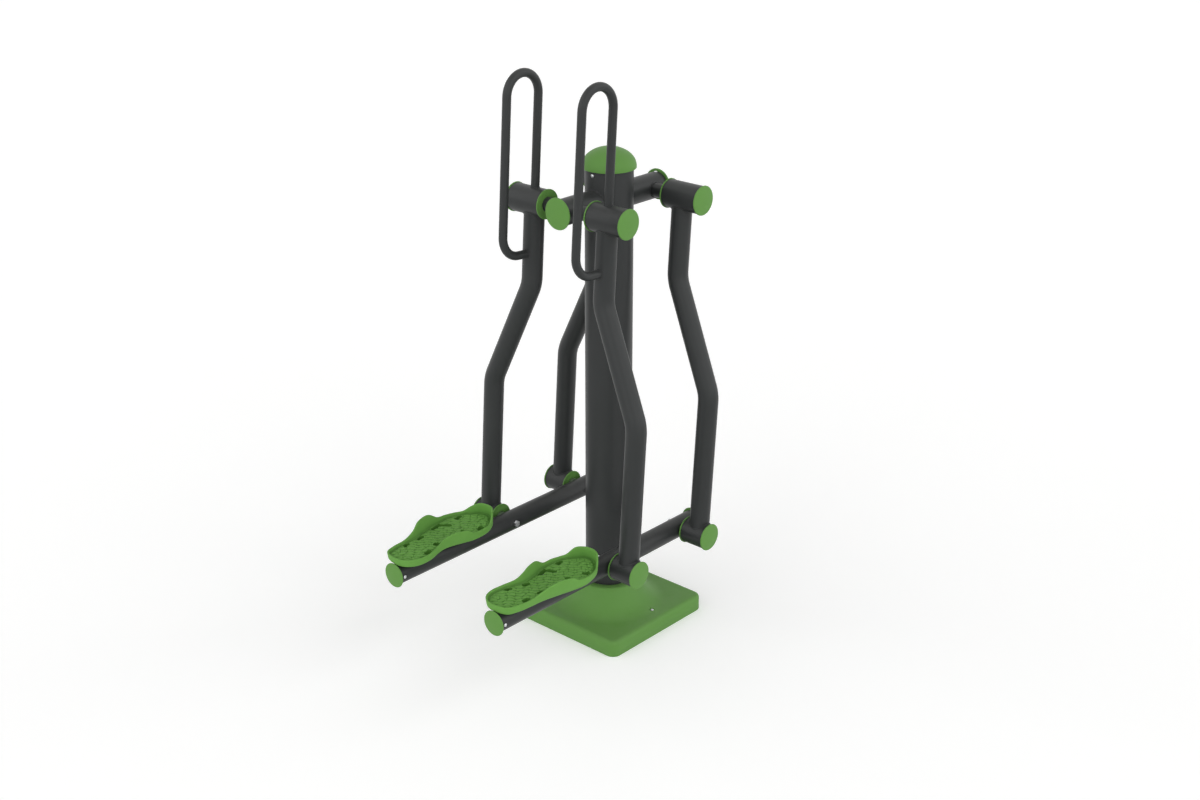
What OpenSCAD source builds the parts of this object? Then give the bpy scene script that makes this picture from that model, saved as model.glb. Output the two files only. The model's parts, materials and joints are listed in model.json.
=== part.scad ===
// Outdoor air walker: a post with a crossbar, and on each side two swinging arms
// that carry one pedal beam. The two arms and the beam of a side form a parallelogram.
// +Z is up, the user stands at -Y and faces +Y, +X is the user's right hand.
// The origin is on the ground, on the axis of the post.

/* [Post] */
// Outside diameter of the post
post_d = 139.7; // [130:0.1:150]
// Wall of the post tube
post_wall = 4; // [3:0.5:6]
// Height of the top rim of the post above the ground
post_top = 1423; // [1400:1:1500]
// Diameter of the domed cap on the post
post_cap_d = 156; // [152:1:170]
// Height of the domed cap above the rim of the post
post_cap_h = 59; // [40:1:80]
// Upright lip at the rim of the domed cap
post_cap_lip = 5; // [2:0.5:8]
// Depth of the plug of the domed cap inside the post
post_cap_plug = 32; // [28:1:44]

/* [Ground plate] */
// Width of the square steel plate under the post
flange_w = 360; // [350:1:380]
// Thickness of the steel plate
flange_t = 12; // [10:1:20]
// Corner radius of the steel plate
flange_corner_r = 20; // [5:1:30]
// Distance of the anchor holes from the edges of the steel plate
anchor_edge = 40; // [34:1:50]
// Diameter of the anchor holes
anchor_hole_d = 18; // [14:1:24]
// Height of the stiffening ribs on the plate
rib_h = 62; // [40:1:66]
// Length of the foot of each stiffening rib
rib_l = 46; // [30:1:48]
// Thickness of the stiffening ribs
rib_t = 8; // [5:1:12]

/* [Base cover] */
// Room between the steel plate and the wall of the cover
cover_room = 26; // [20:1:32]
// Height of the flat top of the cover
cover_h = 51; // [44:1:60]
// Wall of the cover
cover_wall = 4; // [3:0.5:6]
// Radius of the upright corners of the cover
cover_corner_r = 28; // [20:1:40]
// Radius of the rounded upper edge of the cover
cover_edge_r = 13; // [8:1:18]
// Width of the flat ring on top of the mound, around the post
mound_ring = 24; // [20:0.5:28]
// Height of the top of the mound above the ground
mound_top_z = 127; // [120:1:134]
// Slope of the flank of the mound, in degrees
mound_slope = 60; // [57:1:63]
// Flat margin between the foot of the mound and the rounded edge of the cover
mound_margin = 18.5; // [14:0.5:24]
// Radius of the rounded top edge of the mound
mound_top_r = 8; // [6:0.5:10]
// Distance of the cover screws from the edge of the steel plate, along X
cover_screw_edge = 19; // [14:1:24]
// Distance of the cover screws from the middle line, along Y
cover_screw_y = 22; // [0:1:40]

/* [Crossbar] */
// Outside diameter of the crossbar
crossbar_d = 76.1; // [70:0.1:82]
// Wall of the crossbar tube
crossbar_wall = 4; // [3:0.5:6]
// Height of the crossbar axis above the ground
crossbar_z = 1332; // [1320:1:1350]
// How far the crossbar runs on past its boss tubes, at each end
crossbar_past = 28.5; // [26:0.5:34]
// Distance between the front and the rear pivot axes
pivot_pitch = 320.6; // [310:0.1:330]
// Diameter of the end caps of the crossbar
crossbar_cap_d = 92; // [86:1:96]
// Thickness of the end caps of the crossbar
crossbar_cap_t = 8; // [6:0.5:10]

/* [Upper pivots] */
// Diameter of the axles through the crossbar
upper_axle_d = 30; // [28:1:32]
// Diameter of the stand-off tubes welded through the crossbar
boss_d = 42.4; // [38:0.1:44]
// Outside diameter of the upper sleeves
upper_sleeve_d = 81.6; // [78:0.1:86]
// Length of the steel part of the upper sleeves
upper_sleeve_l = 119; // [112:1:130]
// Distance from the post axis to the inner end of the steel sleeves
upper_sleeve_x = 91; // [90:1:96]
// Diameter of the green caps and rings on the upper sleeves
upper_cap_d = 86.4; // [84:0.1:92]
// Outside diameter of the upper ball bearings
upper_bearing_d = 62; // [58:1:66]
// Width of the upper ball bearings
upper_bearing_w = 16; // [12:1:18]

/* [Lower pivots] */
// Diameter of the axle pins in the pedal beams
lower_axle_d = 25; // [22:1:28]
// Outside diameter of the lower sleeves
lower_sleeve_d = 77.2; // [72:0.1:80]
// Length of the steel part of the lower sleeves
lower_sleeve_l = 77; // [74:1:90]
// Gap between the pedal beam and the ring of the lower sleeve
beam_gap = 6; // [4:0.5:8]
// Diameter of the green caps and rings on the lower sleeves
lower_cap_d = 82.6; // [81:0.1:86]
// Outside diameter of the lower ball bearings
lower_bearing_d = 52; // [47:1:56]
// Width of the lower ball bearings
lower_bearing_w = 15; // [12:1:16]

/* [Sleeve caps] */
// Thickness of the outer caps of all sleeves
sleeve_cap_t = 8; // [7:0.5:12]
// Thickness of the rings at the inner ends of all sleeves
ring_t = 3; // [2:0.5:4]

/* [Arms] */
// Outside diameter of the arm tubes
arm_d = 60.3; // [54:0.1:64]
// Wall of the arm tubes
arm_wall = 3; // [2:0.5:5]
// Distance from the post axis to the upper part of the arms
arm_top_x = 138.5; // [136:0.5:144]
// Distance from the post axis to the lower part of the arms
arm_foot_x = 281.3; // [276:0.1:286]
// Distance between the upper and lower pivot axes of an arm
arm_l = 1004; // [980:1:1020]
// Distance of the upper bend below the upper pivot
bend_top = 243; // [230:1:270]
// Distance of the lower bend below the upper pivot
bend_foot = 563; // [540:1:620]
// Radius of both bends
bend_r = 110; // [80:1:160]

/* [Handles] */
// Diameter of the handle tube
handle_d = 25; // [22:0.5:28]
// Wall of the handle tube
handle_wall = 2.5; // [1.5:0.5:4]
// Distance between the two legs of a handle
handle_w = 123; // [110:1:130]
// Height of the middle line of the handle's top above the upper pivot
handle_top_h = 365.3; // [330:1:400]
// Distance of the handle's lower end below the upper pivot
handle_drop = 149.1; // [130:1:170]

/* [Pedal beams] */
// Outside diameter of the pedal beams
beam_d = 60.3; // [58:0.1:64]
// Wall of the pedal beams
beam_wall = 3; // [2:0.5:5]
// Distance from the post axis to each pedal beam
beam_x = 202.4; // [198:0.1:204]
// Distance from the rear lower pivot to the rear end of the beam tube
beam_rear = 62; // [50:1:80]
// Height of the lower pivot axes above the beam axis
beam_drop = 3; // [0:0.5:5]
// Diameter of the end caps of the beams
beam_cap_d = 74; // [68:1:80]
// Thickness of the end caps of the beams
beam_cap_t = 6.5; // [5:0.5:10]

/* [Footplates] */
// Length of the footplates
plate_l = 390; // [370:1:400]
// Overall width of the sole of the footplates
plate_w = 146; // [130:1:160]
// Distance from the front lower pivot to the heel of the footplate and the end of the beam
plate_heel = 461.4; // [455:0.1:470]
// Height of the tallest part of the raised edge
plate_edge_h = 52; // [48:1:60]
// Thickness of the floor of the footplates
plate_floor = 15; // [10:0.5:15]
// Thickness of the raised edge
plate_wall = 5; // [4:0.5:6]
// Outward lean of the raised edge, as a share of its height
plate_lean_share = 0.3; // [0.1:0.05:0.4]
// Thickness of the steel straps under the footplates
strap_t = 6; // [5:0.5:8]

/* [Swing] */
// Angle of the arms from upright as shown, lower ends toward the user when negative
rest_swing = -3.9; // [-10:0.1:10]
// Largest swing of the arms to each side of upright
swing_limit = 30; // [20:1:35]

/* [Hidden] */
$fn = 64;

// Clearances: seats that are pressed or welded, running fits, and the overrun of cuts
seat_gap = 0.1;
run_gap = 0.05;
ring_gap = 0.6;
over = 2;

// Colours of the paint, the plastic, the bright fasteners, the raw steel and the rubber
paint = [0.17, 0.18, 0.18];
green = [0.24, 0.47, 0.15];
bright = [0.8, 0.81, 0.82];
raw = [0.6, 0.62, 0.64];
rubber = [0.06, 0.06, 0.06];

// Half sizes and places that several pieces share
post_r = post_d / 2;
post_bore_r = post_r - post_wall;
crossbar_r = crossbar_d / 2;
crossbar_bore_r = crossbar_r - crossbar_wall;
boss_r = boss_d / 2;
pivot_y = pivot_pitch / 2;
crossbar_l = pivot_pitch + boss_d + 2 * crossbar_past;
arm_r = arm_d / 2;
beam_r = beam_d / 2;
beam_bore_r = beam_r - beam_wall;
handle_r = handle_d / 2;
upper_axle_r = upper_axle_d / 2;
lower_axle_r = lower_axle_d / 2;
upper_bore_r = upper_bearing_d / 2 + run_gap;
lower_bore_r = lower_bearing_d / 2 + run_gap;

// Places along X on an upper pivot, from the post outward
ring_plug = 5;
bearing_1_x = upper_sleeve_x + ring_plug + over;
upper_sleeve_end = upper_sleeve_x + upper_sleeve_l;
nut_h = 13;
nut_washer_t = 3;
nut_across = 36;
nut_washer_d = 40;
stud_d = 24;
bearing_2_x = upper_sleeve_end - nut_h - nut_washer_t - upper_bearing_w - over * 3;
stud_x = bearing_2_x + upper_bearing_w;
spacer_d = 38;

// Places along X on a lower pivot, from the post outward
lower_ring_x = beam_x + beam_r + beam_gap;
lower_sleeve_x = lower_ring_x + ring_t;
lower_sleeve_end = lower_sleeve_x + lower_sleeve_l;
lower_bearing_1_x = lower_sleeve_x + ring_plug + over / 2;
axle_bolt_d = 12;
axle_bolt_head_h = 7.5;
axle_bolt_head_d = 20;
axle_washer_t = 3;
axle_washer_d = 34;
axle_shoulder_d = 36;
lower_bearing_2_x = lower_sleeve_end - lower_bearing_w - axle_washer_t - axle_bolt_head_h;
lower_journal_end = lower_bearing_2_x + lower_bearing_w;

// Lower pivots and the pedal beams in the pose shown
lower_front_y = -pivot_y + arm_l * sin(rest_swing);
lower_z = crossbar_z - arm_l * cos(rest_swing);
beam_front = plate_heel;
beam_end_y = pivot_pitch + beam_rear;

// Stops inside the front upper sleeves: a lug on the axle between two rubber buffers
stop_w = 24;
stop_x = (bearing_1_x + upper_bearing_w + bearing_2_x) / 2;
stop_ring_d = 47;
lug_half = 14;
buffer_inner_d = 50;
buffer_slack = 1;
buffer_sweep = 34;

// Corners along each bend of an arm, and how far their balls stand out of the bars
bend_corners = 3;
corner_share = 1.006;

// Plug shapes of the plastic caps
plug_wall = 3;
cap_face_t = 3.5;
cap_rise_share = 0.4;
sleeve_plug = 7;
tube_plug = 24;
plug_clear = 4.5;
screw_d = 5;
screw_head_d = 10;
screw_head_h = 2.6;
screw_inset = 12;

// Places of the holes in the steel plate
anchor_pitch = flange_w - 2 * anchor_edge;
cover_screw_x = flange_w / 2 - cover_screw_edge;

// Base cover: its width, its mound, the sunk seats of its screws and the pads under them
cover_w = flange_w + 2 * (cover_room + cover_wall);
cover_bore_r = post_r + ring_gap;
mound_back = tan(mound_slope / 2);
mound_top_reach = post_r + mound_ring;
mound_reach = mound_top_reach + (mound_top_z - cover_h) / tan(mound_slope);
mound_end = cover_w / 2 - cover_edge_r - mound_margin;
mound_foot_r = (mound_end - mound_reach) / mound_back;
screw_sink_d = 16;
screw_pad_d = 24;
standoff_d = 16;
cover_screw_l = 20;

// Footplate: the sole's outline as shares, from the heel round the outer side to the toe
// and back along the inner side. Each row: along the length, across the width, edge height,
// and how much of the edge's lean it has
sole_shares = [
    [0.002, -0.03, 0.46, 0.46], [0.030, 0.26, 0.46, 0.50], [0.125, 0.355, 0.46, 0.46],
    [0.231, 0.385, 0.47, 0.47], [0.333, 0.40, 0.69, 0.69], [0.431, 0.45, 0.98, 1.00],
    [0.553, 0.52, 0.97, 1.00], [0.635, 0.565, 0.60, 0.60], [0.712, 0.58, 0.52, 0.52],
    [0.790, 0.54, 0.49, 0.49], [0.862, 0.465, 0.49, 0.40], [0.915, 0.37, 0.74, 0.20],
    [0.962, 0.245, 0.92, 0.10], [0.985, 0.07, 0.93, 0.05], [0.972, -0.095, 0.94, 0.05],
    [0.922, -0.235, 0.90, 0.10], [0.870, -0.325, 0.56, 0.30], [0.820, -0.385, 0.48, 0.45],
    [0.744, -0.42, 0.50, 0.50], [0.662, -0.42, 0.52, 0.52], [0.590, -0.375, 0.84, 0.84],
    [0.495, -0.30, 0.90, 0.90], [0.410, -0.27, 0.78, 0.78], [0.333, -0.315, 0.57, 0.57],
    [0.236, -0.40, 0.47, 0.47], [0.146, -0.42, 0.46, 0.46], [0.070, -0.365, 0.46, 0.46],
    [0.018, -0.225, 0.46, 0.46]
];
// Drain slots in the sole: along the length, across the width
slot_shares = [
    [0.210, 0.29], [0.242, -0.28], [0.358, 0.30], [0.378, -0.145], [0.590, 0.44], [0.612, -0.28],
    [0.784, 0.41], [0.769, -0.30]
];
slot_l_share = 0.085;
slot_w_share = 0.075;
sole_steps = 3;
sole_round = 3;
plate_z = beam_r + strap_t / 2;
strap_l = 88;
strap_w = 36;
strap_shares = [0.16, 0.78];
strap_bolt_d = 8;
strap_bolt_head_d = 14;
strap_bolt_head_h = 5.5;
strap_bolt_x = 33;
strap_bolt_grip = 5;

// A closed smooth curve through a list of points
function at(list, k) = list[(k + len(list)) % len(list)];
function curve(a, b, c, d, t) =
    (2 * b + (c - a) * t + (2 * a - 5 * b + 4 * c - d) * t * t
        + (3 * b - a - 3 * c + d) * t * t * t) / 2;
function smooth(list, steps) = [
    for (k = [0 : len(list) - 1], s = [0 : steps - 1])
        curve(at(list, k - 1), at(list, k), at(list, k + 1), at(list, k + 2), s / steps)
];
function outward(list, k) =
    let (d = at(list, k + 1) - at(list, k - 1))
    [d[1], -d[0]] / norm([d[0], d[1]]);

// Points of an arc in a plane: centre, radius, first and last angle, steps
function arc(c, r, a, b, n) = [
    for (k = [0 : n])
        let (t = a + (b - a) * k / n)
        c + r * [cos(t), sin(t)]
];

// A round bar or a tube along X, from one place to another
module bar_x(r, from, to, y = 0, z = 0) {
    translate([from, y, z]) rotate([0, 90, 0]) cylinder(r = r, h = to - from);
}

module bar_y(r, from, to, x = 0, z = 0) {
    translate([x, from, z]) rotate([-90, 0, 0]) cylinder(r = r, h = to - from);
}

module ring_x(outer_r, inner_r, from, to) {
    difference() {
        bar_x(outer_r, from, to);
        bar_x(inner_r, from - over, to + over);
    }
}

// The right side as drawn, or the left side as its mirror image
module on_side(side) {
    mirror([side < 0 ? 1 : 0, 0, 0]) children();
}

// An arm's own frame: the origin on its upper pivot axis, hanging as in the pose shown
module on_arm(end) {
    translate([0, end * pivot_y, crossbar_z]) rotate([rest_swing, 0, 0]) children();
}

// A pedal beam's own frame: the origin on the front lower pivot axis
module on_beam() {
    translate([0, lower_front_y, lower_z]) children();
}

// A moulded cap: a plug inside a tube and a domed disc on its end, along +Z
module round_cap(disc_r, disc_t, plug_r, plug_l) {
    rise = disc_t * cap_rise_share;
    edge = disc_t - rise;
    soft = edge / 2;
    steps = 6;
    rotate_extrude()
        polygon(concat(
            [[0, cap_face_t * cap_rise_share], [plug_r - plug_wall, 0], [plug_r - plug_wall, -plug_l]],
            [[plug_r, -plug_l], [plug_r, 0], [disc_r - soft / 2, 0]],
            arc([disc_r - soft, soft], soft, -60, 60, steps),
            [for (k = [1 : steps]) let (s = 1 - k / steps) [(disc_r - soft) * s, disc_t - rise * s * s]]
        ));
}

// A pan-head screw with its head outward along +Z, its seat at the origin
module cap_screw(shank) {
    head_r = screw_head_d / 2;
    rotate_extrude()
        polygon(concat(
            [[0, -shank], [screw_d / 2 - run_gap, -shank], [screw_d / 2 - run_gap, 0], [head_r, 0]],
            [for (k = [0 : 4]) let (s = k / 4) [head_r * cos(90 * s), screw_head_h * (1 + sin(90 * s)) / 2]]
        ));
}

// A hexagon head with a round shank below it, along -Z from its seat at the origin
module hex_bolt(shank_d, shank_l, head_d, head_h) {
    translate([0, 0, -shank_l]) cylinder(r = shank_d / 2 - run_gap, h = shank_l + head_h / 2);
    cylinder(r = head_d / 2, h = head_h, $fn = 6);
}

// Frame
module anchor_flange() {
    half = flange_w / 2 - flange_corner_r;
    color(raw) difference() {
        union() {
            for (s = [0, 1])
                rotate([0, 0, 90 * s])
                    translate([-flange_w / 2, -half, 0]) cube([flange_w, 2 * half, flange_t]);
            for (x = [-half, half], y = [-half, half])
                translate([x, y, 0]) cylinder(r = flange_corner_r, h = flange_t);
        }
        for (x = [-anchor_pitch / 2, anchor_pitch / 2], y = [-anchor_pitch / 2, anchor_pitch / 2])
            translate([x, y, -over]) cylinder(r = anchor_hole_d / 2, h = flange_t + 2 * over);
    }
}

module flange_ribs() {
    foot = post_r + seat_gap;
    tip = rib_l / 4;
    color(raw) for (k = [0 : 3])
        rotate([0, 0, 90 * k])
            translate([foot, rib_t / 2, flange_t + seat_gap])
                rotate([90, 0, 0])
                    linear_extrude(rib_t)
                        polygon([[0, 0], [rib_l, 0], [rib_l, tip], [tip, rib_h], [0, rib_h]]);
}

module post() {
    foot_z = flange_t + seat_gap;
    bar_hole_r = crossbar_r + seat_gap;
    color(paint) difference() {
        translate([0, 0, foot_z]) cylinder(r = post_r, h = post_top - foot_z);
        translate([0, 0, foot_z - over]) cylinder(r = post_bore_r, h = post_top - foot_z + 2 * over);
        bar_y(bar_hole_r, -post_d, post_d, 0, crossbar_z);
        bar_y(screw_d / 2, -post_d, 0, 0, post_top - screw_inset);
    }
}

module tray(w, h, corner_r, edge_r, from) {
    place = w / 2 - corner_r;
    hull()
        for (x = [-place, place], y = [-place, place])
            translate([x, y, 0])
                rotate_extrude($fn = 32)
                    polygon(concat([[0, from], [corner_r, from]],
                        arc([corner_r - edge_r, h - edge_r], edge_r, 0, 90, 5), [[0, h]]));
}

// The mound's outside, or its inside where inset is the thickness of the wall
module mound(inset, low) {
    foot_r = mound_foot_r + inset;
    top_r = mound_top_r - inset;
    deck = cover_h - inset;
    top_z = mound_top_z - inset;
    top = mound_top_reach - inset * mound_back;
    rotate_extrude()
        polygon(concat(
            [[0, low], [mound_end, low]],
            arc([mound_end, deck + foot_r], foot_r, 270, 270 - mound_slope, 12),
            arc([top - top_r * mound_back, top_z - top_r], top_r, 90 - mound_slope, 90, 5),
            [[0, top_z]]
        ));
}

module base_cover() {
    under = cover_h - cover_wall;
    color(green) difference() {
        union() {
            tray(cover_w, cover_h, cover_corner_r, cover_edge_r, 0);
            mound(0, cover_h - cover_wall / 2);
        }
        difference() {
            union() {
                tray(cover_w - 2 * cover_wall, under,
                    cover_corner_r - cover_wall, cover_edge_r - cover_wall, -over);
                mound(cover_wall + run_gap, under - over);
            }
            cover_screw_places(under) cylinder(r = screw_pad_d / 2, h = cover_h);
        }
        translate([0, 0, cover_h]) cylinder(r = cover_bore_r, h = mound_top_z);
        cover_screw_places(cover_h) cylinder(r = screw_sink_d / 2, h = cover_h);
        cover_screw_places(0) cylinder(r = screw_d / 2, h = cover_h + over);
    }
}

module cover_screw_places(z) {
    for (s = [-1, 1])
        translate([s * cover_screw_x, s * cover_screw_y, z]) children();
}

module cover_standoffs() {
    foot_z = flange_t + seat_gap;
    tall = cover_h - cover_wall - foot_z - seat_gap;
    color(raw) cover_screw_places(foot_z)
        difference() {
            cylinder(r = standoff_d / 2, h = tall);
            translate([0, 0, tall - cover_screw_l]) cylinder(r = screw_d / 2, h = cover_screw_l + over);
        }
}

module cover_screws() {
    color(bright) cover_screw_places(cover_h + seat_gap)
        cap_screw(cover_screw_l - over);
}

module crossbar() {
    half = crossbar_l / 2;
    color(paint) difference() {
        bar_y(crossbar_r, -half, half, 0, crossbar_z);
        bar_y(crossbar_bore_r, -half - over, half + over, 0, crossbar_z);
        for (end = [-1, 1]) {
            bar_x(boss_r + seat_gap, -crossbar_d, crossbar_d, end * pivot_y, crossbar_z);
            translate([0, end * (half - screw_inset / 2), crossbar_z])
                cylinder(r = screw_d / 2, h = crossbar_d);
        }
    }
}

module post_cap() {
    r = post_cap_d / 2;
    plug_r = post_bore_r - seat_gap;
    inner_r = plug_r - plug_wall;
    wall = cover_wall;
    steps = 14;
    z = post_top + seat_gap;
    color(green) difference() {
        translate([0, 0, z]) rotate_extrude()
            polygon(concat(
                [[inner_r, -post_cap_plug], [plug_r, -post_cap_plug], [plug_r, 0], [r - wall / 4, 0]],
                [for (k = [0 : steps]) let (a = 90 * k / steps)
                    [r * cos(a), post_cap_lip + (post_cap_h - post_cap_lip) * sin(a)]],
                [for (k = [0 : steps]) let (a = 90 - 90 * k / steps)
                    [inner_r * cos(a), (post_cap_h - wall) * sin(a)]]
            ));
        bar_y(screw_d / 2, -post_d, 0, 0, post_top - screw_inset);
    }
}

module post_cap_screw() {
    color(bright) translate([0, -post_r - seat_gap, post_top - screw_inset])
        rotate([90, 0, 0]) cap_screw(post_wall + plug_wall + over);
}

module crossbar_caps() {
    color(green) for (end = [-1, 1])
        difference() {
            translate([0, end * (crossbar_l / 2 + seat_gap), crossbar_z])
                rotate([-90 * end, 0, 0])
                    round_cap(crossbar_cap_d / 2, crossbar_cap_t, crossbar_bore_r - seat_gap,
                        crossbar_past - plug_clear);
            translate([0, end * (crossbar_l - screw_inset) / 2, crossbar_z])
                cylinder(r = screw_d / 2, h = crossbar_d);
        }
}

module crossbar_cap_screws() {
    color(bright) for (end = [-1, 1])
        translate([0, end * (crossbar_l - screw_inset) / 2, crossbar_z + crossbar_r + seat_gap])
            cap_screw(crossbar_wall + plug_wall + over);
}

module upper_axle(end) {
    thread = nut_washer_t + nut_h + over;
    color(raw) translate([0, end * pivot_y, crossbar_z]) {
        bar_x(upper_axle_r, -stud_x, stud_x);
        bar_x(stud_d / 2, -stud_x - thread, stud_x + thread);
    }
}

module axle_spacers() {
    bore_r = upper_axle_r + run_gap;
    color(paint) for (end = [-1, 1])
        translate([0, end * pivot_y, crossbar_z]) {
            ring_x(boss_r, bore_r, -bearing_1_x + run_gap, bearing_1_x - run_gap);
            for (side = [-1, 1]) on_side(side)
                ring_x(spacer_d / 2, bore_r,
                    bearing_1_x + upper_bearing_w + run_gap, bearing_2_x - run_gap);
        }
}

module axle_nuts() {
    bore_r = stud_d / 2 + run_gap;
    color(bright) for (end = [-1, 1], side = [-1, 1])
        translate([0, end * pivot_y, crossbar_z]) on_side(side)
            translate([stud_x + run_gap, 0, 0]) rotate([0, 90, 0])
                difference() {
                    union() {
                        cylinder(r = nut_washer_d / 2, h = nut_washer_t);
                        cylinder(r = nut_across / sqrt(3), h = nut_washer_t + nut_h, $fn = 6);
                    }
                    translate([0, 0, -over]) cylinder(r = bore_r, h = nut_h + nut_washer_t + 2 * over);
                }
}

// A sector of a thick ring along X, centred on +Z and then turned about the axis
module sector_x(outer_r, inner_r, from, to, middle, half) {
    reach = 2 * outer_r;
    intersection() {
        ring_x(outer_r, inner_r, from, to);
        rotate([-middle, 0, 0])
            translate([from - over, 0, 0]) rotate([90, 0, 90])
                linear_extrude(to - from + 2 * over)
                    polygon([[0, 0], [-reach * tan(half), reach], [reach * tan(half), reach]]);
    }
}

// Each lug points straight up; the buffers meet it at the ends of the swing
module stop_collars() {
    bore_r = spacer_d / 2 + run_gap;
    lug_r = upper_bore_r - over / 2;
    ring_r = stop_ring_d / 2;
    color(raw) for (side = [-1, 1])
        translate([0, -pivot_y, crossbar_z]) on_side(side)
            union() {
                ring_x(ring_r, bore_r, stop_x - stop_w / 2, stop_x + stop_w / 2);
                sector_x(lug_r, ring_r - over, stop_x - stop_w / 2, stop_x + stop_w / 2, 0, lug_half);
            }
}

module stop_buffers(side) {
    middle = swing_limit + buffer_slack + lug_half + buffer_sweep / 2;
    color(rubber) on_side(side) on_arm(-1)
        for (s = [-1, 1])
            sector_x(upper_bore_r - seat_gap, buffer_inner_d / 2, stop_x - stop_w / 2, stop_x + stop_w / 2,
                s * middle, buffer_sweep / 2);
}

// Arms
module upper_sleeve(side, end) {
    color(paint) on_side(side) on_arm(end)
        ring_x(upper_sleeve_d / 2, upper_bore_r, upper_sleeve_x, upper_sleeve_end);
}

module lower_sleeve(side, end) {
    color(paint) on_side(side) on_arm(end) translate([0, 0, -arm_l])
        ring_x(lower_sleeve_d / 2, lower_bore_r, lower_sleeve_x, lower_sleeve_end);
}

// The double-bent run of an arm, for the outside or the bore: straight bars that meet
// in balls at the corners, with several corners along each bend
function arm_line(steps) =
    let (
        lean = atan2(arm_foot_x - arm_top_x, bend_foot - bend_top),
        cut = bend_r * tan(lean / 2),
        half = lean / (2 * steps),
        corner_r = bend_r / cos(half),
        top = [arm_top_x + bend_r, cut - bend_top],
        foot = [arm_foot_x - bend_r, -bend_foot - cut]
    )
    concat(
        [[arm_top_x, 0]],
        arc(top, corner_r, 180 + half, 180 + lean - half, steps - 1),
        arc(foot, corner_r, lean - half, half, steps - 1),
        [[arm_foot_x, -arm_l]]
    );

module bent_run(line, r) {
    for (k = [1 : len(line) - 1])
        let (a = line[k - 1], d = line[k] - a)
            translate([a[0], 0, a[1]]) rotate([0, atan2(d[0], d[1]), 0]) cylinder(r = r, h = norm(d));
    for (k = [1 : len(line) - 2])
        translate([line[k][0], 0, line[k][1]]) sphere(r = r * corner_share);
}

module arm_tube(side, end) {
    line = arm_line(bend_corners);
    color(paint) on_side(side) on_arm(end)
        difference() {
            bent_run(line, arm_r);
            bent_run(line, arm_r - arm_wall);
            bar_x(upper_sleeve_d / 2 + seat_gap, 0, arm_foot_x);
            bar_x(lower_sleeve_d / 2 + seat_gap, arm_top_x, arm_foot_x * 2, 0, -arm_l);
        }
}

module bearings(side, end) {
    color(bright) on_side(side) on_arm(end) {
        for (x = [bearing_1_x, bearing_2_x])
            ring_x(upper_bearing_d / 2, upper_axle_r + run_gap, x, x + upper_bearing_w);
        translate([0, 0, -arm_l])
            for (x = [lower_bearing_1_x, lower_bearing_2_x])
                ring_x(lower_bearing_d / 2, lower_axle_r + run_gap, x, x + lower_bearing_w);
    }
}

module sleeve_caps(side, end) {
    color(green) on_side(side) on_arm(end) {
        translate([upper_sleeve_end + seat_gap, 0, 0]) rotate([0, 90, 0])
            round_cap(upper_cap_d / 2, sleeve_cap_t, upper_bore_r - seat_gap, sleeve_plug);
        translate([lower_sleeve_end + seat_gap, 0, -arm_l]) rotate([0, 90, 0])
            round_cap(lower_cap_d / 2, sleeve_cap_t, lower_bore_r - seat_gap, sleeve_plug);
    }
}

// A thin ring with a short plug in the sleeve, running round a fixed stand-off
module sleeve_ring(outer_r, plug_r, bore_r, x) {
    difference() {
        union() {
            bar_x(outer_r, x - ring_t, x - seat_gap);
            bar_x(plug_r, x - ring_t, x + ring_plug);
        }
        bar_x(bore_r, x - ring_t - over, x + ring_plug + over);
    }
}

module sleeve_rings(side, end) {
    color(green) on_side(side) on_arm(end) {
        sleeve_ring(upper_cap_d / 2, upper_bore_r - seat_gap, boss_r + ring_gap, upper_sleeve_x);
        translate([0, 0, -arm_l])
            sleeve_ring(lower_cap_d / 2, lower_bore_r - seat_gap,
                axle_shoulder_d / 2 + ring_gap, lower_sleeve_x);
    }
}

// The handle loop: up from the sleeve, over the top, down in front and back into the arm,
// with one bend radius throughout
module handle_run(r) {
    turn_r = handle_w / 2;
    top = handle_top_h - turn_r;
    foot = turn_r - handle_drop;
    cylinder(r = r, h = top);
    translate([0, -turn_r, top]) rotate([90, 0, 90])
        rotate_extrude(angle = 180) translate([turn_r, 0]) circle(r = r);
    translate([0, -handle_w, foot]) cylinder(r = r, h = top - foot);
    translate([0, -turn_r, foot]) rotate([90, 0, 90]) rotate([0, 0, 180])
        rotate_extrude(angle = 90) translate([turn_r, 0]) circle(r = r);
    bar_y(r, -turn_r, 0, 0, -handle_drop);
}

module handle(side) {
    color(paint) on_side(side) on_arm(-1)
        difference() {
            translate([arm_top_x, 0, 0]) handle_run(handle_r);
            translate([arm_top_x, 0, 0]) handle_run(handle_r - handle_wall);
            bar_x(upper_sleeve_d / 2 + seat_gap, 0, arm_foot_x);
            translate([arm_top_x, 0, -arm_l]) cylinder(r = arm_r + seat_gap, h = arm_l);
        }
}

// Pedal beams. The cap screws are on the +X face of both, so they aren't mirrored
module beam_screw_places(side, out) {
    for (y = [screw_inset - beam_front, beam_end_y - screw_inset])
        translate([side * beam_x + out, y, -beam_drop]) rotate([0, 90, 0]) children();
}

module beam(side) {
    color(paint) on_beam()
        difference() {
            on_side(side) difference() {
                bar_y(beam_r, -beam_front, beam_end_y, beam_x, -beam_drop);
                bar_y(beam_bore_r, -beam_front - over, beam_end_y + over, beam_x, -beam_drop);
                for (y = [0, pivot_pitch]) {
                    bar_x(lower_axle_r + seat_gap, beam_x, beam_x + beam_d, y);
                    bar_x(axle_bolt_d / 2, beam_x - beam_d, beam_x, y);
                }
            }
            beam_screw_places(side, 0) cylinder(r = screw_d / 2, h = beam_d);
        }
}

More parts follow.
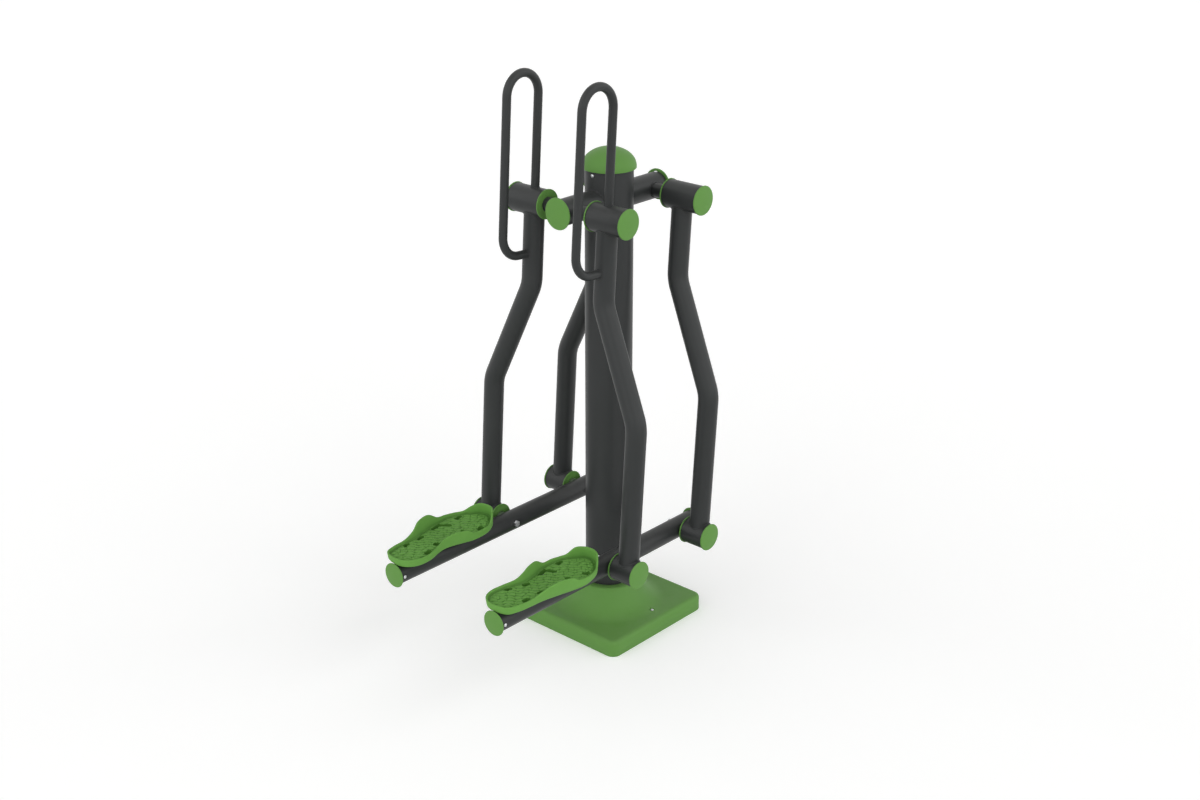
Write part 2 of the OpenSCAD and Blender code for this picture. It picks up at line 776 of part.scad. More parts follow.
module beam_cap(side, front) {
    y = front ? -beam_front - seat_gap : beam_end_y + seat_gap;
    color(green) on_beam()
        difference() {
            translate([side * beam_x, y, -beam_drop]) rotate([front ? 90 : -90, 0, 0])
                round_cap(beam_cap_d / 2, beam_cap_t, beam_bore_r - seat_gap, tube_plug);
            beam_screw_places(side, 0) cylinder(r = screw_d / 2, h = beam_d);
        }
}

module beam_cap_screws(side) {
    color(bright) on_beam()
        beam_screw_places(side, beam_r + seat_gap) cap_screw(beam_wall + plug_wall + over);
}

// An axle pin: a journal for the bearings, a shoulder against the beam, a foot inside it
module lower_axles(side) {
    foot_rise = lower_axle_r + beam_drop;
    foot_x = beam_x - sqrt(beam_bore_r * beam_bore_r - foot_rise * foot_rise) + seat_gap;
    bore = axle_bolt_d / 2;
    depth = 2 * axle_bolt_d;
    color(raw) on_side(side) on_beam()
        for (y = [0, pivot_pitch])
            difference() {
                union() {
                    bar_x(lower_axle_r, foot_x, lower_journal_end, y);
                    difference() {
                        bar_x(axle_shoulder_d / 2, beam_x, lower_bearing_1_x - run_gap, y);
                        bar_y(beam_r + seat_gap, y - beam_d, y + beam_d, beam_x, -beam_drop);
                    }
                }
                bar_x(bore, foot_x - over, foot_x + depth, y);
                bar_x(bore, lower_journal_end - depth, lower_journal_end + over, y);
            }
}

module lower_axle_bolts(side) {
    shank = 2 * axle_bolt_d - over;
    inner_x = beam_x - beam_r;
    color(bright) on_side(side) on_beam()
        for (y = [0, pivot_pitch]) {
            translate([inner_x - seat_gap, y, 0]) rotate([0, -90, 0])
                hex_bolt(axle_bolt_d, shank, axle_bolt_head_d, axle_bolt_head_h);
            translate([lower_journal_end + run_gap, y, 0]) rotate([0, 90, 0]) {
                cylinder(r = axle_washer_d / 2, h = axle_washer_t);
                translate([0, 0, axle_washer_t])
                    hex_bolt(axle_bolt_d, shank, axle_bolt_head_d, axle_bolt_head_h - over);
            }
        }
}

// Footplates: a moulded sole with a raised edge that leans outward
sole = smooth([for (p = sole_shares) [p[1] * plate_w, p[0] * plate_l, p[2] * plate_edge_h, p[3]]],
    sole_steps);

// One ring of the footplate: a height share of the edge, a fixed rise, and a step inward
function sole_ring(share, rise, inset) = [
    for (k = [0 : len(sole) - 1])
        let (p = sole[k], n = outward(sole, k), z = share * p[2] + rise,
            lean = plate_lean_share * max(0, z) * p[3])
        [p[0] + n[0] * (lean - inset), p[1] + n[1] * (lean - inset), z]
];

module sole_solid() {
    rings = [
        sole_ring(0, 0, sole_round),
        sole_ring(0, sole_round, 0),
        sole_ring(1, -plate_wall / 2, 0),
        sole_ring(1, 0, plate_wall / 2),
        sole_ring(1, -plate_wall / 2, plate_wall),
        sole_ring(0, plate_floor + sole_round, plate_wall),
        sole_ring(0, plate_floor, plate_wall + sole_round)
    ];
    n = len(sole);
    m = len(rings);
    heart = [0, plate_l / 2];
    polyhedron(
        points = concat(
            [for (r = rings) for (p = r) p],
            [[heart[0], heart[1], 0], [heart[0], heart[1], plate_floor]]
        ),
        faces = concat(
            [for (k = [0 : n - 1]) [m * n, k, (k + 1) % n]],
            [for (j = [0 : m - 2], k = [0 : n - 1]) let (a = j * n, b = a + n, next = (k + 1) % n)
                [a + k, b + next, a + next]],
            [for (j = [0 : m - 2], k = [0 : n - 1]) let (a = j * n, b = a + n, next = (k + 1) % n)
                [a + k, b + k, b + next]],
            [for (k = [0 : n - 1]) [m * n + 1, (m - 1) * n + (k + 1) % n, (m - 1) * n + k]]
        )
    );
}

// The frame of a footplate: the origin under its heel, on top of the straps
module on_plate(side) {
    on_side(side) on_beam() translate([beam_x, -plate_heel, plate_z - beam_drop]) children();
}

module strap_bolt_places(z) {
    for (s = strap_shares, x = [-strap_bolt_x, strap_bolt_x])
        translate([x, s * plate_l, z]) children();
}

// A drain slot with round ends, along the footplate
module drain_slot() {
    end_r = slot_w_share * plate_w / 2;
    place = slot_l_share * plate_l / 2 - end_r;
    linear_extrude(plate_floor + 2 * over)
        polygon(concat(arc([0, place], end_r, 0, 180, 5), arc([0, -place], end_r, 180, 360, 5)));
}

module footplate(side) {
    color(green) on_plate(side)
        difference() {
            sole_solid();
            for (p = slot_shares)
                translate([p[1] * plate_w, p[0] * plate_l, -over]) drain_slot();
            strap_bolt_places(-over) cylinder(r = strap_bolt_d / 2, h = strap_bolt_grip + 2 * over);
        }
}

// Steel straps welded across the beam, and the bolts that hold the footplate from below
module footplate_straps(side) {
    color(paint) on_plate(side)
        difference() {
            for (s = strap_shares)
                translate([-strap_l / 2, s * plate_l - strap_w / 2, -strap_t - seat_gap])
                    cube([strap_l, strap_w, strap_t]);
            bar_y(beam_r + seat_gap, 0, plate_l, 0, -plate_z);
            strap_bolt_places(-plate_z) cylinder(r = strap_bolt_d / 2, h = plate_z + over);
        }
    color(paint) on_plate(side)
        strap_bolt_places(-strap_t - 2 * seat_gap) rotate([180, 0, 0])
            hex_bolt(strap_bolt_d, strap_t + strap_bolt_grip, strap_bolt_head_d, strap_bolt_head_h);
}

anchor_flange();
flange_ribs();
post();
base_cover();
cover_standoffs();
cover_screws();
crossbar();
post_cap();
post_cap_screw();
crossbar_caps();
crossbar_cap_screws();
upper_axle(-1);  // front_axle
upper_axle(1);  // rear_axle
axle_spacers();
axle_nuts();
stop_collars();
upper_sleeve(1, -1);  // right_front_upper_sleeve
arm_tube(1, -1);  // right_front_arm_tube
lower_sleeve(1, -1);  // right_front_lower_sleeve
bearings(1, -1);  // right_front_bearings
sleeve_caps(1, -1);  // right_front_sleeve_caps
sleeve_rings(1, -1);  // right_front_sleeve_rings
handle(1);  // right_handle
stop_buffers(1);  // right_stop_buffers
upper_sleeve(1, 1);  // right_rear_upper_sleeve
arm_tube(1, 1);  // right_rear_arm_tube
lower_sleeve(1, 1);  // right_rear_lower_sleeve
bearings(1, 1);  // right_rear_bearings
sleeve_caps(1, 1);  // right_rear_sleeve_caps
sleeve_rings(1, 1);  // right_rear_sleeve_rings
beam(1);  // right_beam
beam_cap(1, true);  // right_beam_front_cap
beam_cap(1, false);  // right_beam_rear_cap
beam_cap_screws(1);  // right_beam_cap_screws
footplate(1);  // right_footplate
footplate_straps(1);  // right_footplate_straps
lower_axles(1);  // right_lower_axles
lower_axle_bolts(1);  // right_lower_axle_bolts
upper_sleeve(-1, -1);  // left_front_upper_sleeve
arm_tube(-1, -1);  // left_front_arm_tube
lower_sleeve(-1, -1);  // left_front_lower_sleeve
bearings(-1, -1);  // left_front_bearings
sleeve_caps(-1, -1);  // left_front_sleeve_caps
sleeve_rings(-1, -1);  // left_front_sleeve_rings
handle(-1);  // left_handle
stop_buffers(-1);  // left_stop_buffers
upper_sleeve(-1, 1);  // left_rear_upper_sleeve
arm_tube(-1, 1);  // left_rear_arm_tube
lower_sleeve(-1, 1);  // left_rear_lower_sleeve
bearings(-1, 1);  // left_rear_bearings
sleeve_caps(-1, 1);  // left_rear_sleeve_caps
sleeve_rings(-1, 1);  // left_rear_sleeve_rings
beam(-1);  // left_beam
beam_cap(-1, true);  // left_beam_front_cap
beam_cap(-1, false);  // left_beam_rear_cap
beam_cap_screws(-1);  // left_beam_cap_screws
footplate(-1);  // left_footplate
footplate_straps(-1);  // left_footplate_straps
lower_axles(-1);  // left_lower_axles
lower_axle_bolts(-1);  // left_lower_axle_bolts
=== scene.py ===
"""Outdoor air walker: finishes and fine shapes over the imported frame."""
import json
import math

import bpy
from mathutils import Matrix, Vector


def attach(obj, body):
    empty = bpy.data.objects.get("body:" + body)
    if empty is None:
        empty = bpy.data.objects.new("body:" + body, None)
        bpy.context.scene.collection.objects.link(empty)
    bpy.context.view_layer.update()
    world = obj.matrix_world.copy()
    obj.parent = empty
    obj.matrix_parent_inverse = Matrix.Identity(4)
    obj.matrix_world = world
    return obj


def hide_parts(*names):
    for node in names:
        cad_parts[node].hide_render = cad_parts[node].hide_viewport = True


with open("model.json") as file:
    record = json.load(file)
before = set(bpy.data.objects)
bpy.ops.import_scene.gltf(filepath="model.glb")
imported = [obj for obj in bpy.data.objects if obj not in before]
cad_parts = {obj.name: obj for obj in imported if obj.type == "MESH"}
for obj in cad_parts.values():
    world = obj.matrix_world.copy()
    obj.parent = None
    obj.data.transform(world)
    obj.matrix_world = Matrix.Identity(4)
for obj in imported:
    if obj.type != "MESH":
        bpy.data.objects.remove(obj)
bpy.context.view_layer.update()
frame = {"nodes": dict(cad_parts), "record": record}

MM = 0.001   # one millimetre in metres
GAP = 0.1    # between two solids of the frame that touch, in millimetres

# Sizes of the frame that the finishing pieces fit, in millimetres.
# R is a radius, L a length, W a width, H a height, T a thickness, and X, Y and Z are places.
POST_R, POST_TOP, POST_WALL, FLANGE_T = 69.85, 1423.0, 4.0, 12.0
DOME_R, DOME_H, DOME_LIP, DOME_PLUG_L = 78.0, 59.0, 5.0, 32.0
CROSSBAR_R, CROSSBAR_Z, CROSSBAR_L, CROSSBAR_BORE_R = 38.05, 1332.0, 420.0, 34.05
CROSSBAR_CAP_R, CROSSBAR_CAP_T = 46.0, 8.0
PIVOT_Y, ARM_L = 160.3, 1004.0
REST_SWING = math.radians(-3.9)   # of all four arms in the pose shown
UPPER_X, UPPER_L, UPPER_R, UPPER_BORE_R, UPPER_CAP_R = 91.0, 119.0, 40.8, 31.05, 43.2
LOWER_X, LOWER_L, LOWER_R, LOWER_BORE_R, LOWER_CAP_R = 241.55, 77.0, 38.6, 26.05, 41.3
SLEEVE_CAP_T, SLEEVE_PLUG_L, BAR_PLUG_L, PLUG_CLEARANCE = 8.0, 7.0, 24.0, 0.1
BOSS_R, SHOULDER_R = 21.2, 18.0
ARM_R, ARM_TOP_X, ARM_FOOT_X = 30.15, 138.5, 281.3
BEND_TOP, BEND_FOOT, BEND_R = 243.0, 563.0, 110.0
HANDLE_R, HANDLE_W, HANDLE_UP, HANDLE_DOWN = 12.5, 123.0, 365.3, 149.1
BEAM_X, BEAM_R, BEAM_FRONT, BEAM_END, BEAM_DROP = 202.4, 30.15, 461.4, 382.6, 3.0
BEAM_CAP_R, BEAM_CAP_T, BEAM_BORE_R = 37.0, 6.5, 27.15
PLATE_L, PLATE_W, PLATE_EDGE, PLATE_FLOOR, PLATE_WALL = 390.0, 146.0, 52.0, 15.0, 5.0
PLATE_HEEL, PLATE_Z, PLATE_LEAN = 461.4, 33.15, 0.3
COVER_W, COVER_H, COVER_CORNER_R, COVER_EDGE_R, COVER_WALL = 420.0, 51.0, 28.0, 13.0, 4.0
MOUND_RING_R, MOUND_END_R, MOUND_LIP_R, MOUND_TOP_Z = 93.85, 178.5, 8.0, 127.0
MOUND_SLOPE = 60.0   # degrees
COVER_SCREW, SINK_R, PAD_R = (161.0, 22.0), 8.0, 12.0
SCREW_INSET, SCREW_HEAD_R, SCREW_HEAD_H, SCREW_KEY_R = 12.0, 5.0, 2.6, 1.9

# Details of the finishing pieces alone, in millimetres
BAR_START, BAR_BITE = 34.0, 0.8   # the middle line's end and how deep a bar's end dips into a tube
CROSSBAR_WELD_W, TUBE_WELD_W, HANDLE_WELD_W, AXLE_WELD_W = 5.0, 4.0, 3.4, 3.2
WELD_RIPPLE, WELD_RIPPLE_L = 0.35, 3.2   # share of the bead's thickness, and length of one ripple

SIDES = {"right": 1, "left": -1}
ENDS = {"front": -1, "rear": 1}
ALONG_X = Matrix.Rotation(math.radians(90), 4, "Y")

# The camera that was fitted to the photograph, and the lamps. Angles are in degrees, the
# camera's distance is in metres, and its lens, sensor and target are in millimetres.
LENS, SENSOR = 50.135, 36.0
VIEW_AZIMUTH, VIEW_ELEVATION, VIEW_DISTANCE = 42.07, 22.49, 5.00446
VIEW_TARGET = (-34.89, 0, 703.24)
LAMPS = {   # azimuth, elevation, strength, angle of the soft edge
    "left": (-22, 12, 1.9, 100),
    "right": (106, 12, 1.9, 100),
    "front": (42, 16, 0.45, 90),
    "top": (200, 75, 0.18, 90),
}
# The floor's half width in metres, its colour, and the glow that makes it as white as the sky
FLOOR_HALF_W, FLOOR_COLOUR, FLOOR_GLOW = 60.0, (0.94, 0.94, 0.935, 1), 0.205
# The sky's strength overhead, what is added low down, and how fast that falls on the way up
SKY_TOP, SKY_LOW, SKY_FALL = 0.22, 0.65, 1.5


# ---------- shader helpers ----------

def feed(tree, value, socket):
    """Gives a socket a number, a colour or another node's output."""
    if isinstance(value, bpy.types.NodeSocket):
        tree.links.new(value, socket)
    else:
        socket.default_value = value


def maths(tree, operation, a, b, clamp=False):
    """A Math node fed by sockets or numbers; returns its output."""
    node = tree.nodes.new("ShaderNodeMath")
    node.operation, node.use_clamp = operation, clamp
    feed(tree, a, node.inputs[0])
    feed(tree, b, node.inputs[1])
    return node.outputs[0]


def noise(tree, coords, scale, detail, rough=0.5):
    """Noise over a set of coordinates; its scale is a number or a socket."""
    node = tree.nodes.new("ShaderNodeTexNoise")
    feed(tree, coords, node.inputs["Vector"])
    feed(tree, scale, node.inputs["Scale"])
    feed(tree, detail, node.inputs["Detail"])
    feed(tree, rough, node.inputs["Roughness"])
    return node.outputs[0]


def object_coords(tree):
    """The object's own coordinates, which move with the piece."""
    return tree.nodes.new("ShaderNodeTexCoord").outputs["Object"]


def blended(tree, mask, under, over):
    """Mixes two colours by a mask; each is a socket or a colour."""
    colour_a, colour_b, colour_result = 6, 7, 2   # the Mix node names several sockets alike
    node = tree.nodes.new("ShaderNodeMix")
    node.data_type = "RGBA"
    feed(tree, mask, node.inputs["Factor"])
    for index, value in ((colour_a, under), (colour_b, over)):
        feed(tree, value + (1.0,) if isinstance(value, tuple) else value, node.inputs[index])
    return node.outputs[colour_result]


def placed(tree, group, **values):
    """Places a shared group in a material with its own values."""
    node = tree.nodes.new("ShaderNodeGroup")
    node.node_tree = group
    for label, value in values.items():
        node.inputs[label.replace("_", " ")].default_value = value
    return node.outputs


def seen_or_mirrored(tree):
    """1 for a ray from the camera or one that is mirrored or let through, else 0."""
    path = tree.nodes.new("ShaderNodeLightPath")
    through = maths(tree, "MAXIMUM", path.outputs["Is Glossy Ray"],
                    path.outputs["Is Transmission Ray"])
    return maths(tree, "MAXIMUM", path.outputs["Is Camera Ray"], through)


# ---------- shared effects ----------

def node_group(name, inputs, outputs):
    """An empty shader group: its inputs with their values, and the names of its outputs."""
    group = bpy.data.node_groups.new(name, "ShaderNodeTree")
    for label, value in inputs.items():
        socket = group.interface.new_socket(
            name=label, in_out="INPUT", socket_type="NodeSocketFloat")
        socket.default_value = value
    for label in outputs:
        group.interface.new_socket(name=label, in_out="OUTPUT", socket_type="NodeSocketFloat")
    return group, group.nodes.new("NodeGroupInput"), group.nodes.new("NodeGroupOutput")


def broken_mask(group, mask, patches, start, end, gain, cut):
    """Breaks a mask up by noise, scales it by the group's Amount and gives it out.

    The noise is multiplied by gain and lowered by cut, so that it leaves bare patches.
    """
    holes = maths(group, "SUBTRACT", maths(group, "MULTIPLY", patches, gain), cut, clamp=True)
    broken = maths(group, "MULTIPLY", mask, holes)
    amount = maths(group, "MULTIPLY", broken, start.outputs["Amount"], clamp=True)
    group.links.new(amount, end.inputs["Mask"])


def surface_grain_group():
    """Fine skin of a coat or a moulding: a height for the bump and a slow change of tone."""
    fine_share, coarse_share, coarse_scale = 0.6, 0.4, 0.22
    group, start, end = node_group(
        "Surface grain", {"Grain size": 900.0, "Grain height": 0.3, "Cloud size": 9.0},
        ["Height", "Tone"])
    place, size = object_coords(group), start.outputs["Grain size"]
    fine = noise(group, place, size, detail=2.0)
    coarse = noise(group, place, maths(group, "MULTIPLY", size, coarse_scale), detail=2.0)
    height = maths(group, "ADD", maths(group, "MULTIPLY", fine, fine_share),
                   maths(group, "MULTIPLY", coarse, coarse_share))
    height = maths(group, "MULTIPLY", height, start.outputs["Grain height"])
    clouds = noise(group, place, start.outputs["Cloud size"], detail=4.0, rough=0.6)
    group.links.new(height, end.inputs["Height"])
    group.links.new(clouds, end.inputs["Tone"])
    return group


def settled_dust_group():
    """A mask of dust that lies on faces that look up, broken up by noise."""
    group, start, end = node_group("Settled dust", {"Amount": 0.2, "Patch size": 22.0}, ["Mask"])
    normal = group.nodes.new("ShaderNodeSeparateXYZ")
    geometry = group.nodes.new("ShaderNodeNewGeometry")
    group.links.new(geometry.outputs["Normal"], normal.inputs[0])
    fall = 3.0   # how fast the dust thins out on a face that tilts
    up = maths(group, "POWER", maths(group, "MAXIMUM", normal.outputs["Z"], 0.0), fall)
    patches = noise(group, object_coords(group), start.outputs["Patch size"], detail=6.0, rough=0.62)
    broken_mask(group, up, patches, start, end, gain=2.2, cut=0.55)
    return group


def rubbed_edge_group():
    """A mask of corners where the finish is rubbed thin, from how far a rounded normal turns."""
    group, start, end = node_group("Rubbed edges", {"Width": 0.0012, "Amount": 0.5}, ["Mask"])
    rounded = group.nodes.new("ShaderNodeBevel")
    rounded.samples = 4
    group.links.new(start.outputs["Width"], rounded.inputs["Radius"])
    turn = group.nodes.new("ShaderNodeVectorMath")
    turn.operation = "DOT_PRODUCT"
    geometry = group.nodes.new("ShaderNodeNewGeometry")
    group.links.new(rounded.outputs[0], turn.inputs[0])
    group.links.new(geometry.outputs["Normal"], turn.inputs[1])
    bend_gain, chip_size = 6.0, 160.0
    bend = maths(group, "SUBTRACT", 1.0, turn.outputs["Value"])
    bend = maths(group, "MULTIPLY", bend, bend_gain, clamp=True)
    patches = noise(group, object_coords(group), chip_size, detail=5.0, rough=0.65)
    broken_mask(group, bend, patches, start, end, gain=2.4, cut=0.6)
    return group


def painted_groove_shade_group():
    """A mask of painted shade in grooves and foot lines, from how far a vertex lies below its
    neighbours.
    """
    level = 0.5   # the pointiness of a flat place
    group, start, end = node_group("Painted groove shade", {"Gain": 30.0, "Amount": 0.5}, ["Mask"])
    point = group.nodes.new("ShaderNodeNewGeometry").outputs["Pointiness"]
    # painted shade: the lower a vertex lies below its neighbours, the darker the colour
    below = maths(group, "SUBTRACT", level, point)
    below = maths(group, "MULTIPLY", below, start.outputs["Gain"], clamp=True)
    amount = maths(group, "MULTIPLY", below, start.outputs["Amount"], clamp=True)
    group.links.new(amount, end.inputs["Mask"])
    return group


GRAIN, DUST, RUBBED = surface_grain_group(), settled_dust_group(), rubbed_edge_group()
PAINTED_GROOVE_SHADE = painted_groove_shade_group()


# ---------- finishes ----------

DUST_COLOUR = (0.4, 0.39, 0.35)
GRAIN_DEPTH = 0.0004   # metres


def finish(name, colour, deep, roughness, spread, grain, dust=0.0, rubbed=0.0, rubbed_colour=None,
           grooves=0.0, groove_shade_colour=None, metal=0.0, specular=0.5, bump=0.25):
    """A finish of two tones, with grain, dust on top, rubbed corners and painted shade in the
    hollows.

    spread is how much the roughness changes; grain is grain size, grain height and cloud size.
    """
    material = bpy.data.materials.new(name)
    material.use_nodes = True
    tree = material.node_tree
    shader = tree.nodes["Principled BSDF"]
    shader.inputs["Metallic"].default_value = metal
    shader.inputs["Specular IOR Level"].default_value = specular
    skin = placed(tree, GRAIN, Grain_size=grain[0], Grain_height=grain[1], Cloud_size=grain[2])
    tint = blended(tree, skin["Tone"], deep, colour)
    # Painted shade: the colour darkens in grooves and foot lines, where shade falls
    if grooves:
        tint = blended(tree, placed(tree, PAINTED_GROOVE_SHADE, Amount=grooves)["Mask"], tint, groove_shade_colour)
    if dust:
        tint = blended(tree, placed(tree, DUST, Amount=dust)["Mask"], tint, DUST_COLOUR)
    if rubbed:
        tint = blended(tree, placed(tree, RUBBED, Amount=rubbed)["Mask"], tint, rubbed_colour)
    tree.links.new(tint, shader.inputs["Base Color"])
    rough = maths(tree, "ADD", maths(tree, "MULTIPLY", skin["Tone"], spread),
                  roughness - spread / 2)
    tree.links.new(rough, shader.inputs["Roughness"])
    relief = tree.nodes.new("ShaderNodeBump")
    relief.inputs["Strength"].default_value = bump
    relief.inputs["Distance"].default_value = GRAIN_DEPTH
    tree.links.new(skin["Height"], relief.inputs["Height"])
    tree.links.new(relief.outputs[0], shader.inputs["Normal"])
    return material


MATERIALS = {
    "dark_paint": finish(
        "Dark powder coat", colour=(0.029, 0.031, 0.031), deep=(0.023, 0.025, 0.025),
        roughness=0.4, spread=0.1, grain=(1400.0, 0.5, 6.0), specular=0.22,
        dust=0.05, rubbed=0.25, rubbed_colour=(0.075, 0.078, 0.08)),
    "green_plastic": finish(
        "Green moulded plastic", colour=(0.115, 0.262, 0.06), deep=(0.1, 0.238, 0.05),
        roughness=0.48, spread=0.1, grain=(1100.0, 0.45, 5.0), specular=0.14,
        dust=0.05, rubbed=0.2, rubbed_colour=(0.17, 0.36, 0.1)),
    "green_footplate": finish(
        "Green footplate rubber", colour=(0.13, 0.312, 0.062), deep=(0.111, 0.279, 0.051),
        roughness=0.6, spread=0.12, grain=(700.0, 0.6, 40.0), specular=0.12, bump=0.3,
        dust=0.03, rubbed=0.25, rubbed_colour=(0.16, 0.36, 0.08),
        # painted shade in the tread's hollows: a very dark green
        grooves=0.7, groove_shade_colour=(0.03, 0.1, 0.01)),
    "bright_steel": finish(
        "Bright stainless steel", colour=(0.66, 0.67, 0.68), deep=(0.56, 0.57, 0.58),
        roughness=0.3, spread=0.12, grain=(1800.0, 0.3, 60.0), metal=1.0, bump=0.15),
    "axle_steel": finish(
        "Turned axle steel", colour=(0.42, 0.42, 0.43), deep=(0.34, 0.34, 0.35),
        roughness=0.36, spread=0.14, grain=(1500.0, 0.35, 45.0), metal=1.0, bump=0.2),
    "zinc_steel": finish(
        "Galvanised steel", colour=(0.52, 0.54, 0.56), deep=(0.4, 0.42, 0.44),
        roughness=0.46, spread=0.2, grain=(240.0, 0.5, 70.0), metal=1.0, bump=0.2),
    "black_rubber": finish(
        "Black rubber", colour=(0.022, 0.022, 0.022), deep=(0.014, 0.014, 0.014),
        roughness=0.75, spread=0.1, grain=(800.0, 0.7, 30.0), bump=0.4),
}
WELD_PAINT = finish(
    "Painted weld", colour=(0.038, 0.04, 0.04), deep=(0.027, 0.029, 0.029),
    roughness=0.45, spread=0.12, grain=(420.0, 1.0, 60.0), specular=0.2, bump=0.6,
    rubbed=0.2, rubbed_colour=(0.08, 0.082, 0.085))
# Painted shade: a darker green for the walls of the drain slots, standing in for the shade inside
# them
SLOT_SHADE = finish(
    "Painted shade in drain slot", colour=(0.065, 0.185, 0.026), deep=(0.05, 0.15, 0.02),
    roughness=0.75, spread=0.1, grain=(700.0, 0.6, 40.0), specular=0.1, bump=0.4)


# ---------- mesh helpers ----------

def turn_angles(count):
    """The angles of a full turn in equal steps, in radians."""
    return [2 * math.pi * k / count for k in range(count)]


def circle(radius, count, z=0.0):
    """A ring of points round Z."""
    return [(radius * math.cos(a), radius * math.sin(a), z) for a in turn_angles(count)]


def arc(cx, cz, radius, first, last, steps):
    """Points of an arc in a plane, angles in degrees."""
    angles = [math.radians(first + (last - first) * k / steps) for k in range(steps + 1)]
    return [(cx + radius * math.cos(a), cz + radius * math.sin(a)) for a in angles]


def closed_mesh(name, rings, slot, place=None, material=None, cap_ends=True, loop=False, sharp=40):
    """Skins a list of equal closed rings of points, in millimetres, and puts it in place."""
    count = len(rings[0])
    points = [tuple(p) for ring in rings for p in ring]
    faces = []
    for j in range(len(rings) if loop else len(rings) - 1):
        a, b = j * count, (j + 1) % len(rings) * count
        faces += [(a + k, a + (k + 1) % count, b + (k + 1) % count, b + k) for k in range(count)]
    if cap_ends and not loop:
        faces += [tuple(reversed(range(count))), tuple(range(len(points) - count, len(points)))]
    place = place or Matrix.Identity(4)
    mesh = bpy.data.meshes.new(name)
    mesh.from_pydata([(place @ Vector(p)) * MM for p in points], [], faces)
    if place.determinant() < 0:
        mesh.flip_normals()
    mesh.shade_smooth()
    mesh.set_sharp_from_angle(angle=math.radians(sharp))
    mesh.materials.append(material or MATERIALS[slot])
    piece = bpy.data.objects.new(name, mesh)
    bpy.context.scene.collection.objects.link(piece)
    return piece


def turned(name, profile, slot, place, count=96):
    """A turned piece: the profile's (radius, height) pairs run from the axis round the outside."""
    smallest = 0.01   # no ring shrinks to a point on the axis
    rings = [circle(max(r, smallest), count, z) for r, z in profile]
    return closed_mesh(name, rings, slot, place)


def round_bar(name, line, radius, slot, place, count, first, last):
    """A round bar swept along a line of points in a plane x-z or y-z; first and last trim
    each point of the end rings, so that the bar meets another tube along a saddle."""
    in_yz = all(abs(p.x - line[0].x) < 1e-6 for p in line)
    flat = Vector((1, 0, 0)) if in_yz else Vector((0, 1, 0))
    rings = []
    for k, p in enumerate(line):
        tangent = (line[min(k + 1, len(line) - 1)] - line[max(k - 1, 0)]).normalized()
        other = tangent.cross(flat).normalized()
        rings.append([p + flat * radius * math.cos(a) + other * radius * math.sin(a)
                      for a in turn_angles(count)])
    rings[0] = [first(p) for p in rings[0]]
    rings[-1] = [last(p) for p in rings[-1]]
    return closed_mesh(name, rings, slot, place)


def on_sleeve(sleeve_r, way, height=0.0):
    """Trims a bar's end to a sleeve along X at that height; way is 1 above it, -1 below it."""

    def trim(p):
        """Moves one point of the end ring up or down on to the sleeve."""
        return Vector((p.x, p.y, height + way * math.sqrt((sleeve_r - BAR_BITE) ** 2 - p.y ** 2)))

    return trim


def saddle_across(radius, bar_r, count=180):
    """The closed line where a bar along Z, with that radius, meets a bar along X."""
    return [Vector((x, y, math.sqrt(bar_r ** 2 - y * y))) for x, y, _ in circle(radius, count)]


def saddle_upright(radius, bar_r, count=220):
    """The closed line where a bar along Z, with that radius, meets a bar along Y."""
    return [Vector((x, y, math.sqrt(bar_r ** 2 - x * x))) for x, y, _ in circle(radius, count)]


def saddle_on_beam(radius, bar_r, count=120):
    """The closed line where an axle along X leaves the round side of the pedal beam."""
    return [Vector((math.sqrt(bar_r ** 2 - (z + BEAM_DROP) ** 2), y, z))
            for y, z, _ in circle(radius, count)]


def weld_bead(name, line, body, width, place):
    """A fillet of weld along a closed line of points: a small bar with a rippled thickness."""
    count = len(line)
    length = sum((line[(k + 1) % count] - line[k]).length for k in range(count))
    waves = max(8, round(length / WELD_RIPPLE_L))
    rings = []
    for k, p in enumerate(line):
        tangent = (line[(k + 1) % count] - line[k - 1]).normalized()
        if k == 0:
            flat = tangent.orthogonal().normalized()
        else:
            flat = (flat - tangent * flat.dot(tangent)).normalized()
        other = tangent.cross(flat)
        wave = math.sin(2 * math.pi * waves * k / count) ** 2 - 0.5
        radius = width / 2 * (1 + WELD_RIPPLE * wave)
        rings.append([p + (flat * math.cos(a) + other * math.sin(a)) * radius
                      for a in turn_angles(10)])
    piece = closed_mesh(name, rings, "dark_paint", place, material=WELD_PAINT, loop=True, sharp=80)
    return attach(piece, body)


def carved(piece, tools, operation):
    """Joins helper solids into one, adds it to the piece or cuts it away, and drops it."""
    bpy.ops.object.select_all(action="DESELECT")
    for tool in tools:
        tool.select_set(True)
    bpy.context.view_layer.objects.active = tools[0]
    bpy.ops.object.join()
    change = piece.modifiers.new("change", "BOOLEAN")
    change.object, change.operation, change.solver = tools[0], operation, "EXACT"
    change.material_mode = "TRANSFER"
    bpy.context.view_layer.objects.active = piece
    bpy.ops.object.modifier_apply(modifier="change")
    bpy.data.objects.remove(tools[0])


# ---------- places ----------

def arm_place(side, end):
    """From an arm's own frame, hung on its upper pivot, to the whole part's, in millimetres."""
    return (Matrix.Translation((0, ENDS[end] * PIVOT_Y, CROSSBAR_Z))
            @ Matrix.Rotation(REST_SWING, 4, "X") @ Matrix.Diagonal((SIDES[side], 1, 1, 1)))


def lower_pivot():
    """A point on the axis of the front lower pivots."""
    return Vector((0, -PIVOT_Y + ARM_L * math.sin(REST_SWING),
                   CROSSBAR_Z - ARM_L * math.cos(REST_SWING)))


def beam_place(side):
    """From a pedal beam's own frame, on the front lower pivot axis, to the whole part's."""
    return Matrix.Translation(lower_pivot()) @ Matrix.Diagonal((SIDES[side], 1, 1, 1))


# ---------- fixed frame ----------

